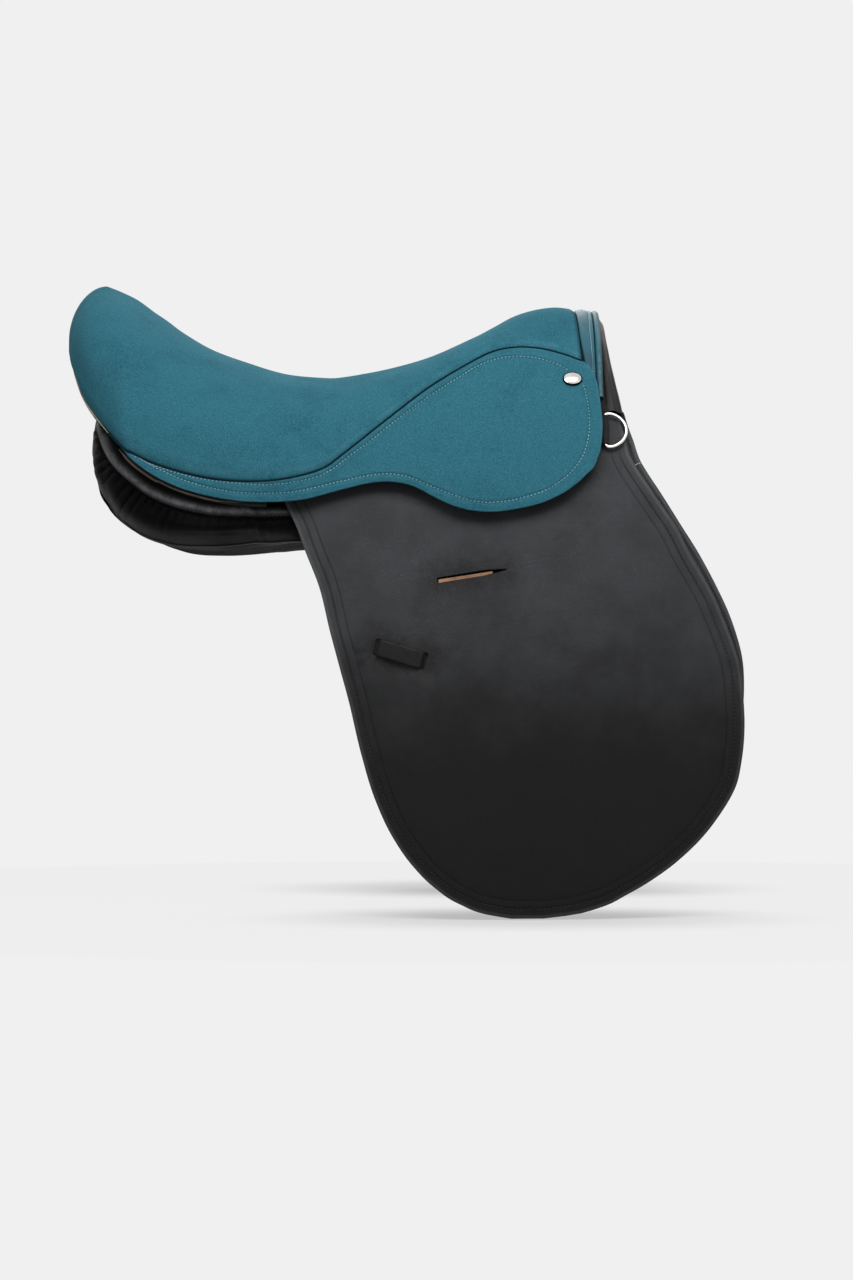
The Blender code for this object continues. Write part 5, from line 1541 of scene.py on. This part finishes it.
# painted shade in the gap by the binding, along the line where the russet top begins and near the front
facing = gridObject("front-facing", face, inner, ["facing", "russet"], "saddle", sharp=60,
                    paintedShade=np.clip((0.42 - u) / 0.10, 0, 1) * np.clip((0.168 - heights) / 0.004, 0, 1)
                    + 0.8 * bell(heights, 0.1665, 0.0012) + 0.6 * bell(u, 0.86, 0.03), topKinds=high)
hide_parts("front_facing")
pad = gridObject("pommel-pad", archGrid(*pommel["pad"], level["stripIn"] - 0.0004, along=16, count=90),
                 archGrid(*pommel["pad"], 0.0002, along=16, count=90), "felt", "saddle")
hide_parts("pommel_pad")

# the dark end of the strap that comes down from under the pommel strip to the ring
strapEnd = {"left": 0.2262, "right": 0.2322, "top": 0.1090, "low": 0.0870, "lean": 0.0030,
            "outer": 0.0186, "inner": 0.0168, "ribs": 2300}
hem = {"top": 0.0928, "low": 0.0745, "back": 0.2262, "front": 0.2500, "slope": 0.26, "outer": 0.0043,
       "inner": 0.0033}
for word, side in sides.items():
    heights = np.linspace(strapEnd["top"], strapEnd["low"], 40)[:, None]
    across = np.linspace(0, 1, 14)[None, :]
    x = strapEnd["left"] + (strapEnd["right"] - strapEnd["left"]) * across + strapEnd["lean"] * (
        (strapEnd["top"] - heights) / (strapEnd["top"] - strapEnd["low"]))
    spots = np.stack([x, heights + 0 * across], -1)
    ribs = 0.0003 * np.sin(heights * strapEnd["ribs"]) * np.sin(np.pi * across)
    rise = strapEnd["outer"] + ribs - 0.0007 * (2 * across - 1) ** 6
    # painted shade between the ribs
    ribShade = 0.55 * np.clip(np.sin(heights * strapEnd["ribs"] + 2.2), 0, 1) + 0 * across
    gridObject("ring-strap-" + word, flankPoints(spots, rise, side),
               flankPoints(spots, strapEnd["inner"], side), "black", "saddle", paintedShade=ribShade)
    # the facing's hem, tucked in behind the top of the flap and over the corner of the sweat flap
    heights = np.linspace(hem["top"], hem["low"], 16)[:, None]
    across = np.linspace(0, 1, 16)[None, :]
    front = hem["front"] + hem["slope"] * (hem["top"] - heights) - 0.0030 * np.clip(
        (heights - hem["top"] + 0.0035) / 0.0035, 0, 1) ** 2
    spots = np.stack([hem["back"] + (front - hem["back"]) * across, heights + 0 * across], -1)
    thinned = hem["inner"] + 0.0002 + (hem["outer"] - hem["inner"] - 0.0002) * np.clip(
        (heights - hem["low"]) / 0.004, 0, 1) + 0 * across
    gridObject("facing-hem-" + word, flankPoints(spots, thinned, side),
               flankPoints(spots, hem["inner"], side), "black", "saddle")
print("pommel made")


# Girth straps, punched and stitched, each swinging from its web
billet = {"half": 0.0125, "pivot": 0.0450, "end": -0.2050, "taper": 0.07, "holes": 9,
          "firstHole": -0.0560, "holeGap": 0.0160, "holeHalf": (0.0019, 0.0026), "stitchIn": 0.0032,
          "xs": {"front": 0.1550, "middle": 0.1150, "rear": 0.0750}}


def billetOutline(x):
    half, pivot, end = billet["half"], billet["pivot"], billet["end"]
    arc = [(x + half * math.cos(a), pivot + half * math.sin(a)) for a in np.linspace(0, math.pi, 40)]
    taper = end + billet["taper"] * (pivot - end)
    return arc + [(x - half, taper), (x - half * 0.55, end + 0.006), (x - half * 0.25, end),
                  (x + half * 0.25, end), (x + half * 0.55, end + 0.006), (x + half, taper)]


def strapRelief(spots, far):
    return groove(far, billet["stitchIn"], 0.0005, 0.0003)


for word, side in sides.items():
    for place, x in billet["xs"].items():
        low, high = ("deepIn", "deepOut") if place == "middle" else ("nearIn", "nearOut")
        holes = []
        for k in range(billet["holes"]):
            z = billet["firstHole"] - k * billet["holeGap"]
            holes.append([(x + billet["holeHalf"][0] * math.cos(a), z + billet["holeHalf"][1] * math.sin(a))
                          for a in np.linspace(0, 2 * math.pi, 14, endpoint=False)])
        outline = billetOutline(x)
        made = sheetObject("girth-strap-%s-%s" % (place, word), outline, side, level[high], level[low],
                           "black", strapRelief, holes, (0.0004, 0.0012, 0.0022, 0.0032, 0.0042), 0.006,
                           (), 0.0006, 0.008)
        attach(made, "billet_%s_%s" % (place, word))
        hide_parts("billet_%s_%s" % (place, word))
        lines = insetLine(outline, billet["stitchIn"], lambda a, b: b > -0.030)
        thread = stitches("girth-strap-stitching-%s-%s" % (place, word),
                          [flankRow(line, level[high] - 0.0003, side) for line in lines], "blackThread",
                          thickness=0.0003)
        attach(thread, "billet_%s_%s" % (place, word))
print("girth straps made")


# The D-ring and the oval nail
ring = {"thin": 0.0014, "x": 0.2325, "z": 0.0731, "half": 0.0168, "straight": 0.0122, "reach": 0.0188,
        "bore": 0.0021, "strap": 0.0016, "loop": 0.0136, "grooveIn": 0.0030}
for word, side in sides.items():
    lift = level["flap"] + 0.0003 + ring["bore"] + ring["strap"]
    flatFrame = flankFrame(ring["x"], ring["z"], lift, side)
    stem = [(0.0, b) for b in np.linspace(-ring["straight"], ring["straight"], 14)]
    bow = [(ring["reach"] * math.sin(a), ring["half"] * math.cos(a))
           for a in np.linspace(math.radians(24), math.radians(156), 50)]
    corner = [Vector((0.0, ring["straight"])), Vector((0.0003, ring["half"] + 0.0006)), Vector(bow[0])]
    turn = [corner[0] * (1 - f) ** 2 + corner[1] * 2 * f * (1 - f) + corner[2] * f * f
            for f in np.linspace(0, 1, 9)[1:-1]]
    low = [Vector((p.x, -p.y)) for p in reversed(turn)]
    path = [flatFrame @ Vector((p[0], p[1], 0)) for p in stem + turn + bow + low]
    made = tubeObject("d-ring-" + word, path, ring["thin"], "chrome", "d_ring_" + word, closed=True,
                      around=20)
    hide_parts("d_ring_" + word)

    # the leather loop that holds the ring's straight side
    outer = ring["bore"] + ring["strap"]
    turns = np.linspace(-math.pi / 2, math.radians(112), 22)
    section = ([(-0.0160, -outer)] + [(outer * math.cos(a), outer * math.sin(a)) for a in turns]
               + [(-0.0060, -0.0010), (-0.0160, -0.0016)])
    inside = ([(-0.0155, -outer + 0.0012)] + [(ring["bore"] * math.cos(a), ring["bore"] * math.sin(a))
                                             for a in turns] + [(-0.0060, -0.0022), (-0.0155, -0.0024)])
    heights = np.linspace(-ring["loop"], ring["loop"], 30)
    near = np.minimum(heights + ring["loop"], ring["loop"] - heights)
    face, back = [], []
    for high, gap in zip(heights, near):
        tuck = 0.0004 * bell(gap, 0.0, 0.0009) + 0.00025 * bell(gap, ring["grooveIn"], 0.0005)
        face.append([flatFrame @ Vector((a * (1 - tuck / outer * (a > -0.004)), high,
                                         b * (1 - tuck / outer) + 0.0001 * math.sin(high * 2100)))
                     for a, b in section])
        back.append([flatFrame @ Vector((a, high, b)) for a, b in inside])
    # painted shade in the grooves near the loop's ends
    grooveShade = bell(near[:, None], ring["grooveIn"], 0.0005) * 0.7 + np.zeros((1, len(section)))
    made = gridObject("ring-loop-" + word, np.array(face), np.array(back), "black", "saddle", paintedShade=grooveShade)
    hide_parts("d_ring_chape_" + word)

    # the nail: a chrome head inside a dark rim, whose colour is painted shade
    spot = flankFrame(nail["x"], nail["z"], level["skirt"] + 0.0003, side)
    n = nail["around"]
    points = [tuple(spot @ Vector((share * nail["wide"] * math.cos(a), share * nail["high"] * math.sin(a),
                                   up)))
              for share, up in nail["profile"] for a in np.linspace(0, 2 * math.pi, n, endpoint=False)]
    faces = [tuple(range(n)), tuple(range(len(points) - n, len(points)))]
    for i in range(len(nail["profile"]) - 1):
        faces += [(i * n + j, i * n + (j + 1) % n, (i + 1) * n + (j + 1) % n, (i + 1) * n + j)
                  for j in range(n)]
    made = newObject("skirt-nail-" + word, points, faces, ["chrome", "shadow"])
    for face in made.data.polygons:
        place = spot.inverted() @ face.center
        if math.hypot(place.x / nail["wide"], place.y / nail["high"]) > nail["chromeTo"]:
            face.material_index = 1
    outwards(made, 60)
    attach(made, "saddle")
    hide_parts("skirt_nail_" + word)
for path, word in marks:
    tubeObject("band-mark-" + word, path, 0.00035, "cream", "saddle", around=8)
print("fittings made")


# Pieces inside the saddle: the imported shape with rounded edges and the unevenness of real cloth
def refined(name, source, kind, bevel=0.0004, uneven=0.0003, size=0.02):
    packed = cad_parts[source]
    mesh = packed.data.copy()
    mesh.transform(packed.matrix_world)
    mesh.name = name
    work = bmesh.new()
    work.from_mesh(mesh)
    bmesh.ops.remove_doubles(work, verts=work.verts[:], dist=0.00001)
    sharp = [e for e in work.edges if len(e.link_faces) == 2 and e.calc_face_angle(0) > 0.7]
    if bevel:
        bmesh.ops.bevel(work, geom=sharp, offset=bevel, segments=2, affect="EDGES", clamp_overlap=True)
    for _ in range(2):
        long = [e for e in work.edges if e.calc_length() > 0.004]
        bmesh.ops.subdivide_edges(work, edges=long, cuts=1, use_grid_fill=True)
    bmesh.ops.triangulate(work, faces=[f for f in work.faces if len(f.verts) > 4])
    work.normal_update()
    for v in work.verts:
        v.co += v.normal * uneven * pointNoise.noise(v.co / size)
    work.to_mesh(mesh)
    work.free()
    mesh.materials.clear()
    mesh.materials.append(finish[kind])
    mesh.shade_smooth()
    mesh.set_sharp_from_angle(angle=math.radians(40))
    made = bpy.data.objects.new(name, mesh)
    bpy.context.scene.collection.objects.link(made)
    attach(made, "saddle")
    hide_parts(source)
    return made


lining = {"rear": -0.1850, "front": -0.0700, "edge": 0.0011}
foam = refined("seat-foam", "seat_foam", "foam", 0.0, 0.0006)
refined("seat-canvas", "seat_canvas", "canvas", 0.0, 0.0004, 0.03)
refined("cross-web", "cross_web", "webbing")
for word, side in sides.items():
    refined("long-web-" + word, "long_web_" + word, "webbing")
    refined("strap-web-" + word, "billet_web_" + word, "webbing")
    refined("point-pocket-" + word, "tree_point_" + word, "black")
    refined("under-edge-" + word, "under_edge_" + word, "black")
    # the pale cut edge of the lining shows as a fine line under the skirt
    along = np.linspace(lining["rear"], lining["front"], 70)
    tuck = np.clip((along + 0.100) / 0.030, 0, 1)
    line = np.array([(x, float(skirtBottom(x)) - 0.0026 - 0.0008 * (x < -0.15) + 0.0030 * t)
                     for x, t in zip(along, tuck)])
    tubeObject("lining-edge-" + word, flankPoints(line, level["skirtIn"] - 0.0012, side),
               lambda f: lining["edge"] * min(1.0, 0.2 + 14 * f, 0.3 + 6 * (1 - f)), "brown", "saddle",
               around=10)
print("inner pieces made")


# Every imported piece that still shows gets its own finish
finishes = {
    "wood": ["head_arch", "side_rail_left", "side_rail_right", "cantle_arch"],
    "steel": ["head_plate", "gullet_plate", "spring_strip_left", "spring_strip_right",
              "stirrup_bar_left", "stirrup_bar_right", "bar_catch_left", "bar_catch_right"],
}
for kind, names in finishes.items():
    for name in names:
        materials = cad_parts[name].data.materials
        materials.clear()
        materials.append(finish[kind])
print("packed pieces finished")


# Floor, backdrop and light
studio = {"floor": -0.3462, "reach": 30.0, "shade": 0.871, "bounce": 0.42, "fill": 0.18,
          "contact": (0.165, 0.150), "long": 0.45, "lift": 0.52, "near": 0.03, "around": 0.13,
          "lifted": 0.95, "far": 0.36}
# each softbox: its place, what it is aimed at, its width and height, and its power
softboxes = {"near softbox": ((0.12, -0.72, 0.72), (0.06, -0.08, 0.02), (0.9, 0.5), 6.6),
             "far softbox": ((0.00, 0.85, 0.80), (0.05, 0.05, 0.05), (0.9, 0.6), 4.5),
             "key softbox": ((0.55, -1.75, 1.60), (0.06, -0.1, 0.0), (1.3, 1.0), 4.0),
             "side softbox": ((-1.5, -1.3, 0.9), (0.0, -0.1, 0.0), (1.1, 1.3), 2.5)}


def grey(value):
    return (value, value, value, 1.0)


def seenDirectly(tree):
    # 1 for what the camera, a reflection or glass sees, and 0 for the light that falls on the saddle
    rays = node(tree, "ShaderNodeLightPath")
    seen = maths(tree, "MAXIMUM", rays.outputs["Is Camera Ray"], rays.outputs["Is Glossy Ray"])
    return maths(tree, "MAXIMUM", seen, rays.outputs["Is Transmission Ray"])


floorMesh = bpy.data.meshes.new("floor")
floorMesh.from_pydata([(x * studio["reach"], y * studio["reach"], studio["floor"])
                       for x, y in ((-1, -1), (1, -1), (1, 1), (-1, 1))], [], [(0, 1, 2, 3)])
floor = bpy.data.objects.new("floor", floorMesh)
bpy.context.scene.collection.objects.link(floor)
floorMaterial = bpy.data.materials.new("paleFloor")
floorMaterial.use_nodes = True
tree = floorMaterial.node_tree
paper = tree.nodes["Principled BSDF"]
paper.inputs["Roughness"].default_value = 0.9
paper.inputs["Specular IOR Level"].default_value = 0.0
glow = node(tree, "ShaderNodeEmission", {"Color": grey(studio["shade"]), "Strength": 1.0})
# the shadow is deepest where the flaps touch the floor, and fades to the plain backdrop around them
where = node(tree, "ShaderNodeTexCoord").outputs["Object"]
spot = node(tree, "ShaderNodeSeparateXYZ", {"Vector": where})
alongX = maths(tree, "SUBTRACT", spot.outputs["X"], studio["contact"][0])
alongX = maths(tree, "MULTIPLY", alongX, studio["long"])
alongY = maths(tree, "SUBTRACT", maths(tree, "ABSOLUTE", spot.outputs["Y"]), studio["contact"][1])
far = maths(tree, "SQRT", maths(tree, "ADD", maths(tree, "MULTIPLY", alongX, alongX),
                                maths(tree, "MULTIPLY", alongY, alongY)))
fade = maths(tree, "MAXIMUM",
             spread(tree, far, studio["near"], studio["around"], studio["lift"], studio["lifted"]),
             spread(tree, far, studio["around"], studio["far"], 0.0, 1.0))
seen = seenDirectly(tree)
tree.links.new(mixColour(tree, seen, grey(studio["bounce"]), grey(studio["shade"])),
               paper.inputs["Base Color"])
both = node(tree, "ShaderNodeMixShader", {0: maths(tree, "MULTIPLY", fade, seen), 1: paper.outputs[0],
                                          2: glow.outputs[0]})
tree.links.new(both.outputs[0], tree.nodes["Material Output"].inputs["Surface"])
floorMesh.materials.append(floorMaterial)

world = bpy.data.worlds.new("studio")
world.use_nodes = True
bpy.context.scene.world = world
tree = world.node_tree
tree.nodes.clear()
backdrop = node(tree, "ShaderNodeBackground", {"Color": grey(studio["shade"]), "Strength": 1.0})
ambient = node(tree, "ShaderNodeBackground", {"Color": grey(1.0), "Strength": studio["fill"]})
blendSky = node(tree, "ShaderNodeMixShader", {0: seenDirectly(tree), 1: ambient.outputs[0],
                                              2: backdrop.outputs[0]})
node(tree, "ShaderNodeOutputWorld", {"Surface": blendSky.outputs[0]})

for name, (place, aim, size, power) in softboxes.items():
    lamp = bpy.data.lights.new(name, "AREA")
    lamp.shape = "RECTANGLE"
    lamp.size, lamp.size_y = size
    lamp.energy = power
    made = bpy.data.objects.new(name, lamp)
    made.location = place
    made.visible_camera = False
    made.rotation_euler = (Vector(aim) - Vector(place)).to_track_quat("-Z", "Y").to_euler()
    bpy.context.scene.collection.objects.link(made)

bpy.context.scene.view_settings.view_transform = "Standard"
print("stage set")


# Leather and canvas cut from flat sheets: one face is a little under half of what the closed piece
# measures, and a sheet is longer along its curve than it is high.
cutting = {"oneFace": 0.49, "strip": 0.012, "samples": 24, "curve": 1.12, "spare": 1.02}


def cut(name):
    made = bpy.data.objects[name]
    points = np.array([v.co[:] for v in made.data.vertices])
    middle = np.median(points[:, 0])
    heights = np.sort(points[np.abs(points[:, 0] - middle) < cutting["strip"], 2])
    heights = heights[:: max(1, len(heights) // cutting["samples"])]


for word in sides:
    cut("flap-" + word)
    cut("sweat-flap-" + word)
    cut("skirt-" + word)
cut("seat-canvas")
